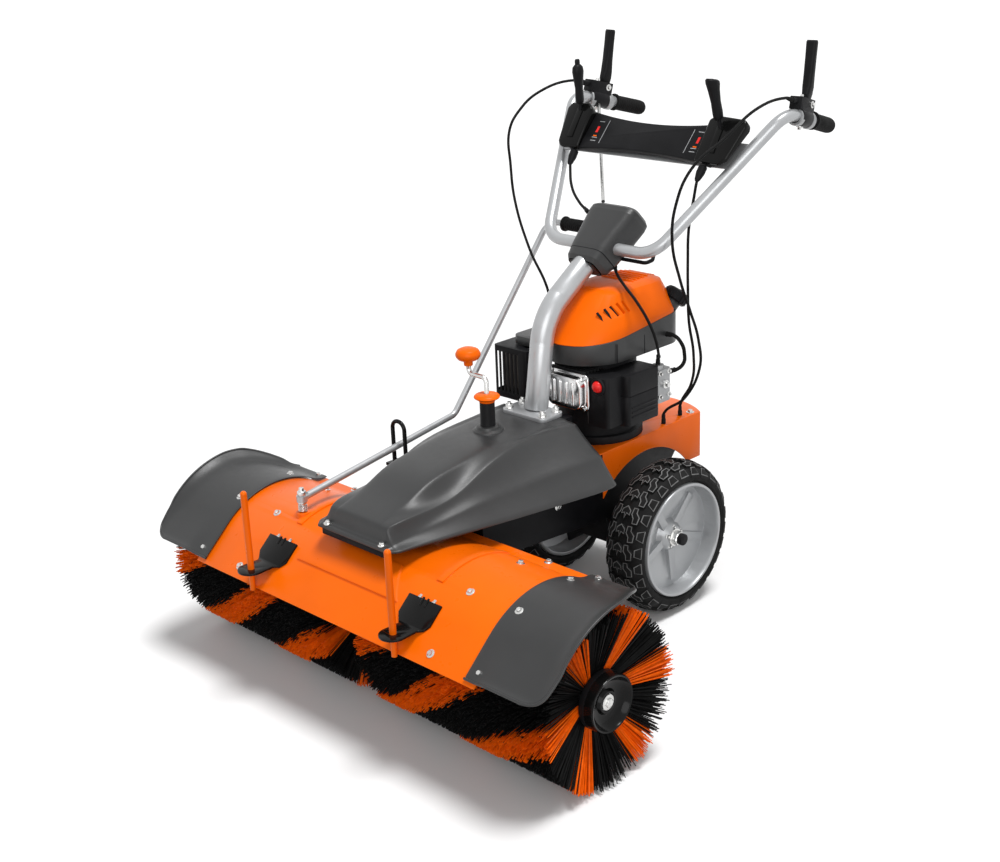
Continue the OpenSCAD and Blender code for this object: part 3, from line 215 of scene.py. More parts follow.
looks = {
    "orange_paint": dict(
        colour=(0.93, 0.145, 0.001), rough=0.3, vary=0.05, scale=8, grain=700, bump=0.03, spec=0.16),
    "orange_plastic": dict(
        colour=(0.93, 0.14, 0.001), rough=0.36, vary=0.05, scale=14, grain=1500, bump=0.05, spec=0.12),
    "orange_bristle": dict(
        colour=(0.95, 0.125, 0.002), rough=0.45, vary=0.22, scale=90, grain=800, bump=0.05, spec=0.08),
    "black_bristle": dict(
        colour=(0.006, 0.006, 0.006), rough=0.45, vary=0.4, scale=90, grain=800, bump=0.05, spec=0.06),
    "grey_plastic": dict(
        colour=(0.029, 0.0295, 0.030), rough=0.36, vary=0.08, scale=12, grain=1900, bump=0.14, spec=0.4),
    "black_paint": dict(
        colour=(0.006, 0.006, 0.007), rough=0.4, vary=0.25, scale=25, grain=900, bump=0.05, spec=0.08),
    "black_plastic": dict(
        colour=(0.010, 0.010, 0.011), rough=0.42, vary=0.2, scale=25, grain=1700, bump=0.12, spec=0.1),
    "gloss_black": dict(
        colour=(0.005, 0.005, 0.005), rough=0.14, vary=0.2, scale=25, grain=900, bump=0.03, spec=0.14),
    "rubber": dict(
        colour=(0.010, 0.010, 0.010), rough=0.6, vary=0.25, scale=40, grain=1300, bump=0.1, spec=0.08),
    "red_rubber": dict(
        colour=(0.80, 0.018, 0.016), rough=0.3, vary=0.06, scale=60, grain=1500, bump=0.04),
    "tyre": dict(
        colour=(0.011, 0.011, 0.011), rough=0.62, vary=0.3, scale=22, grain=600, bump=0.2, dust=0.004,
        spec=0.08),
    # painted highlight: a light grey for the lug borders, standing in for light caught on the lug edges
    "lug_edge_highlight": dict(
        colour=(0.15, 0.15, 0.15), rough=0.7, vary=0.35, scale=60, grain=500, bump=0.2),
    "silver_paint": dict(
        colour=(0.46, 0.47, 0.48), rough=0.33, metal=0.55, vary=0.05, scale=18, grain=1600, bump=0.05,
        coat=0.2),
    "rim_paint": dict(
        colour=(0.40, 0.41, 0.42), rough=0.36, metal=0.45, vary=0.05, scale=20, grain=1200, bump=0.05,
        coat=0.15),
    "bright_steel": dict(
        colour=(0.62, 0.62, 0.61), rough=0.26, metal=1.0, vary=0.08, scale=50, grain=1200, bump=0.05),
    "chrome": dict(
        colour=(0.70, 0.70, 0.70), rough=0.16, metal=1.0, vary=0.06, scale=40, grain=600, bump=0.04),
    "cast_metal": dict(
        colour=(0.014, 0.014, 0.015), rough=0.55, metal=0.2, vary=0.25, scale=40, grain=700, bump=0.3,
        spec=0.08),
    "muffler_steel": dict(
        colour=(0.10, 0.092, 0.084), rough=0.5, metal=0.8, vary=0.3, scale=30, grain=500, bump=0.15),
    "die_cast": dict(
        colour=(0.33, 0.335, 0.34), rough=0.45, metal=0.85, vary=0.1, scale=60, grain=900, bump=0.18),
}
finishes = {name: finish(name, **look) for name, look in looks.items()}
glossy = ("marker_brackets", "guide_loop")
for name, node in nodes.items():
    node.data.materials.clear()
    node.data.materials.append(finishes["gloss_black" if name in glossy else slot_of[name]])
print("finishes", len(finishes))

# %% [markdown]
# A few helpers are used all through. `piece` turns a bmesh into an object that moves with one body of the
# frame, and `tell` prints what a cell has made. `add` puts a part that was built on its own into a larger
# one. `lathe` spins a profile of radii and heights round any axis, which makes every turned part, `block`
# is a box with soft edges, and `loft` joins rounded sections. `touch` shoots a straight line at a CAD
# solid, so that a `screw` sits exactly on its surface. Lengths are in millimetres.

# %% Shared helpers
MM = 0.001
SIDES = (("left", -1), ("right", 1))
trees = {}
made = []


def piece(name, bm, slot, body, replaced=(), sharp=35, more=(), outward=True, look=None):
    if outward:
        bmesh.ops.recalc_face_normals(bm, faces=bm.faces)
    mesh = bpy.data.meshes.new(name)
    bm.to_mesh(mesh)
    bm.free()
    mesh.shade_smooth()
    mesh.set_sharp_from_angle(angle=math.radians(sharp))
    for kind in (look or slot, *more):
        mesh.materials.append(finishes[kind])
    obj = bpy.data.objects.new(name, mesh)
    scene.collection.objects.link(obj)
    if body:
        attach(obj, body)
    if replaced:
        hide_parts(*replaced)
    made.append(name)
    return obj


def tell():
    print("made", len(made), "pieces:", ", ".join(made))
    made.clear()


def add(bm, part, at=(0, 0, 0), turn=Matrix()):
    part.transform(Matrix.Translation(Vector(at) * MM) @ turn)
    mesh = bpy.data.meshes.new("part")
    part.to_mesh(mesh)
    part.free()
    bm.from_mesh(mesh)
    bpy.data.meshes.remove(mesh)


def upright(way):
    """The turn that lays the Z axis along a direction."""
    return Vector(way).to_track_quat("Z", "Y").to_matrix().to_4x4()


def spoke(degrees):
    """The way out from the brush's axis at an angle, seen along the brush."""
    return Vector((0, math.cos(math.radians(degrees)), math.sin(math.radians(degrees))))


def height_at(line, t):
    """The height at t of a line through points (place, height), kept between its ends."""
    for (t0, h0), (t1, h1) in zip(line, line[1:]):
        if t <= t1:
            return h0 + (h1 - h0) * max(0, t - t0) / (t1 - t0)
    return line[-1][1]


def lathe(bm, profile, at, along=(0, 0, 1), steps=24, closed=False):
    part = bmesh.new()
    ring = [part.verts.new((r * MM, 0, h * MM)) for r, h in profile]
    pairs = list(zip(ring, ring[1:])) + ([(ring[-1], ring[0])] if closed else [])
    edges = [part.edges.new(pair) for pair in pairs]
    bmesh.ops.spin(part, geom=ring + edges, cent=(0, 0, 0), axis=(0, 0, 1), angle=2 * math.pi,
                   steps=steps, use_merge=True)
    bmesh.ops.remove_doubles(part, verts=part.verts, dist=1e-6)
    add(bm, part, at, upright(along))


def screw(bm, at, along, size=10):
    wide, hexagon = size * 0.9, size * 0.56
    flange = [(0, -0.5), (wide, -0.5), (wide, 1.2), (size * 0.6, 2.2), (0, 2.2)]
    head = [(0, 1.5), (hexagon, 1.5), (hexagon, 5), (size * 0.46, 6.2), (size * 0.3, 6.2), (0, 5.4)]
    lathe(bm, flange, at, along, 20)
    lathe(bm, head, at, along, 6)


def touch(node, start, towards):
    if node not in trees:
        solid = bmesh.new()
        solid.from_mesh(nodes[node].data)
        solid.transform(nodes[node].matrix_world)
        trees[node] = BVHTree.FromBMesh(solid)
        solid.free()
    place, normal, _, _ = trees[node].ray_cast(Vector(start) * MM, Vector(towards).normalized())
    return place / MM, normal


def block(bm, size, at, turn=(0, 0, 0), soft=1.5, segments=2):
    part = bmesh.new()
    bmesh.ops.create_cube(part, size=1)
    bmesh.ops.scale(part, vec=Vector(size) * MM, verts=part.verts)
    bmesh.ops.bevel(part, geom=part.edges, offset=soft * MM, offset_type="OFFSET", affect="EDGES",
                    segments=segments, profile=0.5, material=-1)
    add(bm, part, at, Euler([math.radians(a) for a in turn]).to_matrix().to_4x4())


def loft(bm, stations, at, turn=Matrix(), square=0.6, segments=24):
    """Stations of (height, half width, half depth, shift), each a rounded rectangle, from foot to tip."""
    part = bmesh.new()
    bmesh.ops.create_circle(part, cap_ends=True, segments=segments, radius=1)
    cap = part.faces[:]
    around = {v: math.atan2(v.co.y, v.co.x) for v in part.verts}
    for i, (height, half_x, half_y, shift) in enumerate(stations):
        if i:
            old = {tuple(v.co): around[v] for v in cap[0].verts}
            grown = bmesh.ops.extrude_face_region(part, geom=cap)["geom"]
            cap = [g for g in grown if isinstance(g, bmesh.types.BMFace)]
            around = {v: old[tuple(v.co)] for v in cap[0].verts}
        for v in cap[0].verts:
            c, d = math.cos(around[v]), math.sin(around[v])
            x = math.copysign(abs(c) ** square, c) * half_x
            y = math.copysign(abs(d) ** square, d) * half_y + shift
            v.co = Vector((x, y, height)) * MM
    add(bm, part, at, turn)


print("helpers ready, unit", MM)

# %% [markdown]
# Machined and moulded parts never have knife edges. `softened` takes a CAD solid, joins its triangles
# into whole faces, and rounds every sharp edge. The copy then stands for the solid. The hood's front
# flange is drawn out a little further down its own slope, as deep as the real one looks.

# %% Rounded edges on the rigid parts
hood_centre = Vector((0, -406, 151))
front_angle = 132
flange_out = spoke(front_angle)
flange_down = Vector((0, -flange_out.z, flange_out.y))
cad_flange_l, flange_l, flange_edge = 72, 84, 60
weld, flat = 2e-5, math.radians(1)


def deeper_flange(bm):
    for v in bm.verts:
        if (v.co / MM - hood_centre).dot(flange_down) > flange_edge:
            v.co += flange_down * (flange_l - cad_flange_l) * MM


def softened(node, width, sharp=30, segments=2):
    bm = bmesh.new()
    bm.from_mesh(nodes[node].data)
    bm.transform(nodes[node].matrix_world)
    bmesh.ops.remove_doubles(bm, verts=bm.verts, dist=weld)
    bmesh.ops.dissolve_limit(bm, angle_limit=flat, verts=bm.verts, edges=bm.edges)
    if node == "hood":
        deeper_flange(bm)
    limit = math.radians(sharp)
    hard = [e for e in bm.edges if len(e.link_faces) == 2 and e.calc_face_angle() > limit]
    bmesh.ops.bevel(bm, geom=hard, offset=width * MM, offset_type="OFFSET", affect="EDGES",
                    segments=segments, profile=0.5, material=-1, clamp_overlap=True)
    look = "gloss_black" if node in glossy else None
    piece(node + "_rounded", bm, slot_of[node], body_of[node], (node,), outward=False, look=look)


edge_width = {
    "frame": 1, "deck": 1.2, "column": 1.5, "column_bolts": 0.6, "engine_block": 1,
    "engine_cowl": 2, "engine_cover": 3, "valve_cover": 4, "muffler": 4, "muffler_guard": 0.8,
    "air_filter_box": 3, "carburettor": 1.5, "crank_sleeve": 1, "sleeve_cap": 2, "crank": 0.8,
    "crank_knob": 3, "lever_brackets": 1.5, "dash_panel": 1.5, "marker_brackets": 0.5,
    "guide_loop": 0.5, "ball_stud": 0.5, "rim_left": 2, "rim_right": 2, "brush_core": 1.5,
    "head_gearbox": 2, "transmission": 2, "hood": 0.5}
for node, width in edge_width.items():
    softened(node, width)
tell()

# %% [markdown]
# The held cables hang in easy bows between the levers and the deck. Each follows its CAD route as a
# smooth curve with a round section, and a stepped ferrule covers each end.

# %% Held cables
def tube_mesh(route, radius, steps=8, sides=4):
    curve = bpy.data.curves.new("route", "CURVE")
    curve.dimensions = "3D"
    curve.bevel_depth = radius * MM
    curve.bevel_resolution = sides
    curve.resolution_u = steps
    curve.use_fill_caps = True
    spline = curve.splines.new("BEZIER")
    spline.bezier_points.add(len(route) - 1)
    for point, place in zip(spline.bezier_points, route):
        point.co = Vector(place) * MM
        point.handle_left_type = point.handle_right_type = "AUTO"
    holder = bpy.data.objects.new("route", curve)
    mesh = bpy.data.meshes.new_from_object(holder)
    bpy.data.objects.remove(holder)
    bpy.data.curves.remove(curve)
    return mesh


def tube(name, route, radius, slot, body, replaced=(), ferrule=True):
    bm = bmesh.new()
    mesh = tube_mesh(route, radius)
    bm.from_mesh(mesh)
    bpy.data.meshes.remove(mesh)
    thick, thin = radius + 1.8, radius + 0.8
    sleeve = [(radius, 0), (thick, 0), (thick, 10), (thin, 12), (thin, 20), (radius, 21)]
    if ferrule:
        for end, inner in ((route[0], route[1]), (route[-1], route[-2])):
            lathe(bm, sleeve, end, Vector(inner) - Vector(end), 16)
    return piece(name, bm, slot, body, replaced)


cable_r, hose_r = 3, 4
routes = {
    "cable_clutch_left": [
        (-277.7, 451, 1056.7), (-281.2, 426.2, 1063.5), (-302, 337, 1048), (-308, 280, 1016),
        (-304, 241, 976), (-297, 234, 903), (-280, 226, 830), (-228, 212, 734), (-150, 188, 648),
        (-144, 190, 580), (-136, 206, 500), (-110, 232, 428), (-90, 240, 400), (-90, 240, 380)],
    "cable_clutch_right": [
        (277.7, 451, 1056.7), (281.2, 426.2, 1063.5), (276, 330, 1052), (256, 262, 1006),
        (230, 190, 954), (210, 169, 887), (200, 170, 817), (190, 208, 727), (180, 253, 653),
        (174, 290, 580), (162, 310, 510), (130, 300, 440), (90, 280, 402), (90, 280, 380)],
    "cable_shift_right": [
        (172, 305.2, 937.1), (171, 291.2, 921.1), (167, 280, 874), (163, 270, 815), (161, 270, 750),
        (160, 272, 690), (158, 278, 622), (146, 310, 540), (112, 346, 456), (84, 344, 402),
        (84, 344, 380)],
    "cable_shift_left": [
        (-172, 305.2, 937.1), (-171, 291.2, 921.1), (-164, 280, 896), (-142, 260, 868),
        (-104, 238, 846), (-58, 216, 832)],
}
for name, route in routes.items():
    cable = tube(name + "_run", route, cable_r, slot_of[name], None, (name,))
    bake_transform(cable)

throttle = [
    (38, 186, 742), (52, 174, 730), (92, 156, 708), (126, 150, 684), (150, 162, 638), (156, 174, 602),
    (148, 192, 568), (130, 216, 552), (122, 222, 543), (122, 222, 534)]
fuel_line = [
    (104, 262, 588), (132, 263, 588), (146, 268, 574), (147, 278, 548), (142, 280, 524), (132, 266, 512),
    (128, 256, 512), (128, 250, 512)]
tube("throttle_run", throttle, cable_r, slot_of["cable_throttle"], "chassis", ("cable_throttle",))
tube("fuel_line_run", fuel_line, hose_r, slot_of["fuel_hose"], "chassis", ("fuel_hose",))
tell()

# %% [markdown]
# The brush is the showpiece. Each half carries six orange strips between six broad black bands, all wound
# in one long helix. A strip is a row of tufts, and a tuft is a bundle of stiff filaments that fan out
# towards the tips. A handful of tufts, each grown with its own seed, is repeated along the strips. Near
# the ends of the brush the filaments lean outwards, and in the middle they lean into the gap.

# %% Bristles
brush_at = Vector((0, -406, 166))
band_in, band_out, tip_r = 42, 48, 165.5
band_x0, band_x1 = 66, 498
band_l = band_x1 - band_x0
strips, strip_pitch, file_span = 6, 60, 20
twist, orange_start = -110, 43
splay, splay_from, splay_run = 36, band_x1 * 0.72, band_x1 * 0.28
inner_lean, inner_run = 26, 60
tuft_step, tuft_kinds = 12, 6
place_jitter, angle_jitter = 2, 1.5
strand_root, strand_tip, ragged = 0.0013, 0.0010, 9
bunch_x, bunch_y, bunch_depth = 0.45, 0.3, 2


def grow_tuft(seed, half_x, half_y, count, short):
    rng = random.Random(seed)
    bm = bmesh.new()
    for _ in range(count):
        x, y = rng.uniform(-half_x, half_x), rng.uniform(-half_y, half_y)
        reach = math.sqrt((tip_r - short) ** 2 - y ** 2) - band_out
        tip = Vector((x, y, reach - ragged * rng.random() ** 2))
        root = Vector((x * bunch_x, y * bunch_y, -bunch_depth))
        way = (tip - root) * MM
        spot = Matrix.Translation((tip + root) * MM / 2) @ upright(way)
        bmesh.ops.create_cone(bm, cap_ends=True, cap_tris=False, segments=3, radius1=strand_root,
                              radius2=strand_tip, depth=way.length, matrix=spot)
    mesh = bpy.data.meshes.new("tuft")
    bm.to_mesh(mesh)
    bm.free()
    return mesh


def strip_files(start, files, spread):
    """The angles of the rows of tufts in every strip of one colour."""
    step = file_span * spread / files
    return [start + strip_pitch * k + step * (j + 0.5) for k in range(strips) for j in range(files)]


def lean_at(u):
    outer = max(0, (u - splay_from) / splay_run)
    inner = max(0, 1 - (u - band_x0) / inner_run)
    return splay * outer ** 2 - inner_lean * inner ** 2


def bristle_half(name, slot, turn, angles, tufts, replaced, seed):
    rng = random.Random(seed)
    bm = bmesh.new()
    flip = Matrix.Rotation(math.radians(turn), 4, "Z")
    for angle in angles:
        for i in range(int(band_l / tuft_step)):
            u = band_x0 + tuft_step * (i + 0.5) + rng.uniform(-place_jitter, place_jitter)
            wound = angle + twist * (u - band_x0) / band_l
            a = math.radians(wound + rng.uniform(-angle_jitter, angle_jitter))
            out = Vector((lean_at(u) / (tip_r - band_out), math.cos(a), math.sin(a)))
            side = Vector((0, -math.sin(a), math.cos(a)))
            foot = Vector((u, band_out * math.cos(a), band_out * math.sin(a))) * MM
            tuft = rng.choice(tufts).copy()
            spot = from_axes((1, 0, 0), side, out, foot)
            tuft.transform(Matrix.Translation(brush_at * MM) @ flip @ spot)
            bm.from_mesh(tuft)
            bpy.data.meshes.remove(tuft)
    piece(name, bm, slot, "brush", replaced, outward=False)


def backing(bm, turn, start, span):
    """One strip's backing: a short arc, swept along the brush while it turns."""
    part = bmesh.new()
    foot = spoke(start) * MM
    ends = [part.verts.new(foot * r + Vector((band_x0 * MM, 0, 0))) for r in (band_in, band_out)]
    rung = part.edges.new(ends)
    bmesh.ops.spin(part, geom=[*ends, rung], cent=(0, 0, 0), axis=(1, 0, 0), angle=math.radians(span),
                   steps=span // 5)
    steps = 24
    bmesh.ops.spin(part, geom=part.faces[:], cent=(0, 0, 0), axis=(1, 0, 0), angle=math.radians(twist),
                   steps=steps, dvec=(band_l * MM / steps, 0, 0))
    add(bm, part, brush_at, Matrix.Rotation(math.radians(turn), 4, "Z"))


black_start = orange_start + file_span
black_tufts = [grow_tuft(10 + i, 9, 24, 32, short=3) for i in range(tuft_kinds)]
orange_tufts = [grow_tuft(30 + i, 9, 17, 34, short=0) for i in range(tuft_kinds)]
black_angles = strip_files(black_start, 3, 2)
orange_angles = strip_files(orange_start, 2, 1)
for side, turn in (("right", 0), ("left", 180)):
    bristle_half("black_bristles_" + side, "black_bristle", turn, black_angles, black_tufts,
                 ("bristles_black",), 1 + turn)
    bristle_half("orange_bristles_" + side, "orange_bristle", turn, orange_angles, orange_tufts,
                 ("bristles_orange",), 2 + turn)
bm = bmesh.new()
for turn in (0, 180):
    for k in range(strips):
        backing(bm, turn, orange_start + strip_pitch * k, file_span)
        backing(bm, turn, black_start + strip_pitch * k, 2 * file_span)
piece("brush_backing_strips", bm, "black_plastic", "brush")
tell()

# %% [markdown]
# The tyres are balloon tyres with a crowned tread. The carcass is one turned profile, a little lower than
# the tread, and the lugs stand up from it: arrows in the middle, kinked blocks beside them and wedges on
# the shoulders. One pitch of the pattern is drawn flat, raised, and rimmed with a light grey border, a
# painted highlight along the lug edges, and is then wrapped round the tyre again and again.

# %% Tyres
tyre_r = 166
axle = Vector((0, 205, tyre_r))
wheel_x = 160
pitches, lug_h, lug_highlight_w = 26, 7, 2.2
pitch_l = 2 * math.pi * tyre_r / pitches
tread_line = [(0, 166), (6, 166), (26, 162), (39, 155), (45, 146), (48, 141), (60, 120)]
arrow = [(2, 0), (11, -11), (22, -11), (19, -3), (31, 0), (19, 3), (22, 11), (11, 11)]
kink = [(3, 15), (18, 14), (26, 20), (37, 21), (36, 32), (20, 33), (12, 26), (2, 25)]
wedge = [(4, 47), (34, 47), (27, 36.5), (11, 36.5)]
carcass = [(125, 40), (131, 46), (141, 46.5), (147, 42.5), (152, 37), (156, 24), (159, 8)]


def tread_pitch():
    bm = bmesh.new()
    shapes = [arrow]
    for outline in (kink, wedge):
        shapes += [outline, [(u, -v) for u, v in outline]]
    for outline in shapes:
        base = bm.faces.new([bm.verts.new((u, v, 0)) for u, v in outline])
        raised = bmesh.ops.extrude_face_region(bm, geom=[base])["geom"]
        corners = [g for g in raised if isinstance(g, bmesh.types.BMVert)]
        bmesh.ops.translate(bm, vec=(0, 0, 1), verts=corners)
        top = [g for g in raised if isinstance(g, bmesh.types.BMFace)]
        # the inset border takes the light grey, a painted highlight along each lug's edge
        for border in bmesh.ops.inset_individual(bm, faces=top, thickness=lug_highlight_w)["faces"]:
            border.material_index = 1
    mesh = bpy.data.meshes.new("tread_pitch")
    bm.to_mesh(mesh)
    bm.free()
    return mesh


def tyre(side, s):
    bm = bmesh.new()
    middle = axle + Vector((s * wheel_x, 0, 0))
    lathe(bm, carcass + [(r, -h) for r, h in reversed(carcass)], middle, (1, 0, 0), 72, closed=True)
    pattern = tread_pitch()
    for p in range(pitches):
        first = len(bm.verts)
        bm.from_mesh(pattern)
        bm.verts.ensure_lookup_table()
        for v in bm.verts[first:]:
            a = (v.co.x + p * pitch_l) / tyre_r
            r = height_at(tread_line, abs(v.co.y)) - lug_h * (1 - v.co.z)
            v.co = (middle + Vector((v.co.y, r * math.cos(a), r * math.sin(a)))) * MM
    piece("tyre_" + side + "_tread", bm, "tyre", "wheel_" + side, ("tyre_" + side,),
          more=("lug_edge_highlight",))


for side, s in SIDES:
    tyre(side, s)
tell()

# %% [markdown]
# The belt cover is one blow-moulded skin: a raised tongue along the middle, a shoulder on each side, a
# creased flank and a flange. A grid is laid over it and each row is moved to one section of the cover,
# then the skin is subdivided, and creased edges keep the ridge lines crisp.

# %% Belt cover
cover_y0, cover_z, cover_wall = -519, 358, 0.003
nose_run, scoop_share = 60, 0.26
# place along the machine; half width and height of the tongue, the shoulder and the crease; half width
# of the flange
cover_rows = [
    (-519, 70, 0, 82, 0, 92, 0, 99), (-518.5, 70, 7, 82, 7, 92, 7, 99),
    (-506, 66, 10, 82, 10, 96, 9, 110), (-503, 64, 33, 80, 31, 96, 11, 112),
    (-499, 60, 41, 80, 39, 97, 12, 114), (-482, 60, 47, 87, 45, 98, 14, 117),
    (-455, 62, 55, 90, 48, 102, 18, 122), (-425, 62, 66, 92, 49, 108, 23, 130),
    (-385, 63, 86, 94, 51, 114, 28, 139), (-340, 64, 96, 97, 59, 122, 35, 149),
    (-300, 64, 101, 98, 76, 128, 38, 157), (-260, 65, 107, 97, 92, 134, 41, 166),
    (-210, 68, 111, 94, 103, 142, 45, 176), (-154, 72, 111, 90, 108, 150, 49, 187),
    (-100, 76, 111, 92, 109, 158, 53, 198), (-40, 80, 111, 102, 107, 166, 55, 209),
    (-12, 80, 111, 104, 106, 168, 53, 206)]


def cover_half(row):
    """Points (half width, height) of one section, from the middle of the tongue out to the flange."""
    y, w_top, h_top, w_mid, h_mid, w_low, h_low, w_end = row
    rise = min(1, (y - cover_y0) / nose_run)
    scoop = scoop_share * (h_top - h_mid)
    return [(0, h_top + rise), (w_top * 0.55, h_top + 0.6 * rise),
            (w_top - 8 * rise, h_top - 0.5 * rise), (w_top, h_top - 3 * rise),
            ((w_top + w_mid) / 2, (h_top + h_mid) / 2 - scoop),
            (w_mid - 5 * rise, h_mid + 0.5 * rise), (w_mid, h_mid - 2 * rise),
            ((w_mid + w_low) / 2 - 3 * rise, (h_mid + h_low) / 2 - 3 * rise), (w_low, h_low),
            (w_low + (w_end - w_low) * 0.25, h_low * 0.7), (w_end, min(4, 8 * (y - cover_y0))),
            (w_end, 0)]


bm = bmesh.new()
columns, last = 22, len(cover_rows) - 1
bmesh.ops.create_grid(bm, x_segments=columns, y_segments=last, size=1)
crease = bm.edges.layers.float.new("crease_edge")
spots = {}
for v in bm.verts:
    i, j = round((v.co.x + 1) / 2 * columns) - columns // 2, round((v.co.y + 1) / 2 * last)
    across, height = cover_half(cover_rows[j])[abs(i)]
    spots[v] = (abs(i), j)
    v.co = Vector((math.copysign(across, i), cover_rows[j][0], cover_z + height)) * MM
ridges = {3: 0.7, 6: 0.75, 8: 0.8, 10: 0.8, 11: 1}
hoops = {0: 1, 1: 0.9, 2: 0.85, 3: 0.3, 4: 0.4, last: 1}
for e in bm.edges:
    (i0, j0), (i1, _) = spots[e.verts[0]], spots[e.verts[1]]
    e[crease] = ridges.get(i0, 0) if i0 == i1 else hoops.get(j0, 0)
cover = piece("belt_cover_moulding", bm, "grey_plastic", "chassis", ("belt_cover",), sharp=180)
wall = cover.modifiers.new("wall", "SOLIDIFY")
wall.thickness = cover_wall
wall.offset = -1
smooth = cover.modifiers.new("smooth", "SUBSURF")
smooth.levels = smooth.render_levels = 2
bm = bmesh.new()
collar = [(15.3, 0), (32, 0), (30, 4), (24, 7), (22, 12), (18, 13), (15.3, 13)]
lathe(bm, collar, (0, -157, 468), steps=40)
piece("sleeve_collar", bm, "grey_plastic", "chassis")
tell()

# %% [markdown]
# The end guards are soft plastic mudguards. Seen along the brush, each follows the hood's arch and its
# front flange. Seen from above, its outer edge runs in towards the hood at the rear. That edge is turned
# up, most at the crown, and ends in a round bead. A grid takes one row per step round the arch and one
# column per step across, and its front outer corner is rounded off.

# %% End guards
guard_r, guard_x0, guard_wall, bead_r = 193.8, 370, 0.003, 2.4
guard_reach, rear_taper, taper_from = 550, 70, 93
rear_angle, crown_angle, crown_lift = 57, 80, 22
rear_fall, front_fall, front_taper = 8, 12, 12
cove_w, corner_r, far = 50, 30, 999
lip_h, lip_run, lip_x0, lip_ease = 5, 14, 396, 30
flare_curve = [(0, 0), (0.4, 0.04), (0.68, 0.3), (0.88, 0.7), (1, 1)]


def guard_line():
    """Rows from rear to front: a point, the way out from the sheet, the outer edge's half width and lift,
    and the distance to the front edge."""
    rear = hood_centre + spoke(rear_angle) * guard_r
    yield rear + Vector((0, 26, 0)), Vector((0, 0, 1)), guard_reach - rear_taper - 12, 0, far
    yield rear + Vector((0, 8, 0)), Vector((0, 0.2, 0.98)), guard_reach - rear_taper - 4, 8, far
    for degrees in range(60, front_angle + 1, 4):
        out = spoke(degrees)
        taper = max(0, taper_from - degrees) / (taper_from - rear_angle)
        reach = guard_reach - rear_taper * taper ** 2
        past = degrees - crown_angle
        if past < 0:
            fall = past / (rear_angle - crown_angle) * rear_fall
        else:
            fall = past / (front_angle - crown_angle) * front_fall
        yield hood_centre + out * guard_r, out, reach, crown_lift - fall, far
    edge = hood_centre + flange_out * guard_r
    for run in (16, 32, 46, 58, 68, 76, flange_l):
        share = run / flange_l
        reach = guard_reach - front_taper * share ** 2
        yield edge + flange_down * run, flange_out, reach, 8 - 4 * share, flange_l - run


def end_guard(side, s):
    line = list(guard_line())
    steps, last = 14, len(line) - 1
    bm = bmesh.new()
    bmesh.ops.create_grid(bm, x_segments=steps, y_segments=last, size=1)
    spots = {}
    for v in bm.verts:
        i, j = round((v.co.x + 1) / 2 * steps), round((v.co.y + 1) / 2 * last)
        spots[v] = (i, j)
        base, out, reach, rise, left = line[j]
        cut = corner_r - math.sqrt(corner_r ** 2 - max(0, corner_r - left) ** 2)
        x = guard_x0 + (reach - cut - guard_x0) * (i / steps) ** 0.85
        lift = rise * height_at(flare_curve, (x + cut - reach + cove_w) / cove_w)
        turned = max(0, 1 - left / flange_l) + max(0, 1 - left / lip_run) ** 2
        lip = lip_h * turned * min(1, max(0, (x - lip_x0) / lip_ease))
        v.co = (Vector((s * x, 0, 0)) + base + out * max(lift, lip)) * MM
    outer = sorted((v for v in bm.verts if spots[v][0] == steps), key=lambda v: spots[v][1])
    front = sorted((v for v in bm.verts if spots[v][1] == last and spots[v][0] < steps),
                   key=lambda v: -spots[v][0])
    edge_line = [v.co / MM for v in outer + front]
    guard = piece("end_guard_" + side, bm, "grey_plastic", "head", ("end_guards",), sharp=180)
    sheet = guard.modifiers.new("sheet", "SOLIDIFY")
    sheet.thickness = guard_wall
    sheet.offset = 0
    rounding = guard.modifiers.new("rounding", "SUBSURF")
    rounding.levels = rounding.render_levels = 2
    tube("guard_edge_bead_" + side, edge_line, bead_r, "grey_plastic", "head", ferrule=False)


for side, s in SIDES:
    end_guard(side, s)
tell()

# %% [markdown]
# The hand grips are ribbed rubber sleeves, so each is one turned profile whose radius steps up and down.

# %% Rubber grips
def ribbed(r, length, ribs, bore):
    step = (length - 16) / ribs
    groove, rib = r - 0.8, r + 0.4
    line = [(bore, 0), (r + 3, 0), (r + 3, 4), (r, 7)]
    for k in range(ribs):
        y = 8 + k * step
        line += [(groove, y), (rib, y + step * 0.2), (rib, y + step * 0.7), (groove, y + step * 0.9)]
    return line + [(r, length - 6), (r - 1, length - 1), (r - 4, length + 3), (0, length + 3.5)]


bar_top, bar_end = Vector((281, 428, 1034)), Vector((253, 625, 980))
grip_l = 88
grip_way = (bar_end - bar_top).normalized()
grip_at = bar_end - grip_way * grip_l
bm = bmesh.new()
for s in (1, -1):
    flip = Vector((s, 1, 1))
    lathe(bm, ribbed(16, grip_l, 13, 12.6), grip_at * flip, grip_way * flip, 32)
piece("hand_grips_ribbed", bm, "rubber", "handlebar", ("grips",))
bm = bmesh.new()
lathe(bm, ribbed(13.5, 82, 11, 7.1), (-196, 294, 776), (1, 0, 0), 32)
piece("steering_grip_ribbed", bm, "rubber", "steering", ("steering_grip",))
tell()

# %% [markdown]
# A small coil spring keeps the ball stud quiet. Its centre line is a helix, worked out point by point,
# with a round section like that of the cables.

# %% Stud spring
stud_x, stud_y = -215, -464
coil_r, coil_foot, coil_h, wire_r = 8.2, 339.6, 14.6, 1.1
coil_points, per_turn = 60, 12
coil = []
for k in range(coil_points + 1):
    a = 2 * math.pi * k / per_turn
    coil.append((stud_x + coil_r * math.cos(a), stud_y + coil_r * math.sin(a),
                 coil_foot + coil_h * k / coil_points))
tube("stud_spring_coil", coil, wire_r, slot_of["stud_spring"], body_of["stud_spring"], ("stud_spring",),
     ferrule=False)
tell()

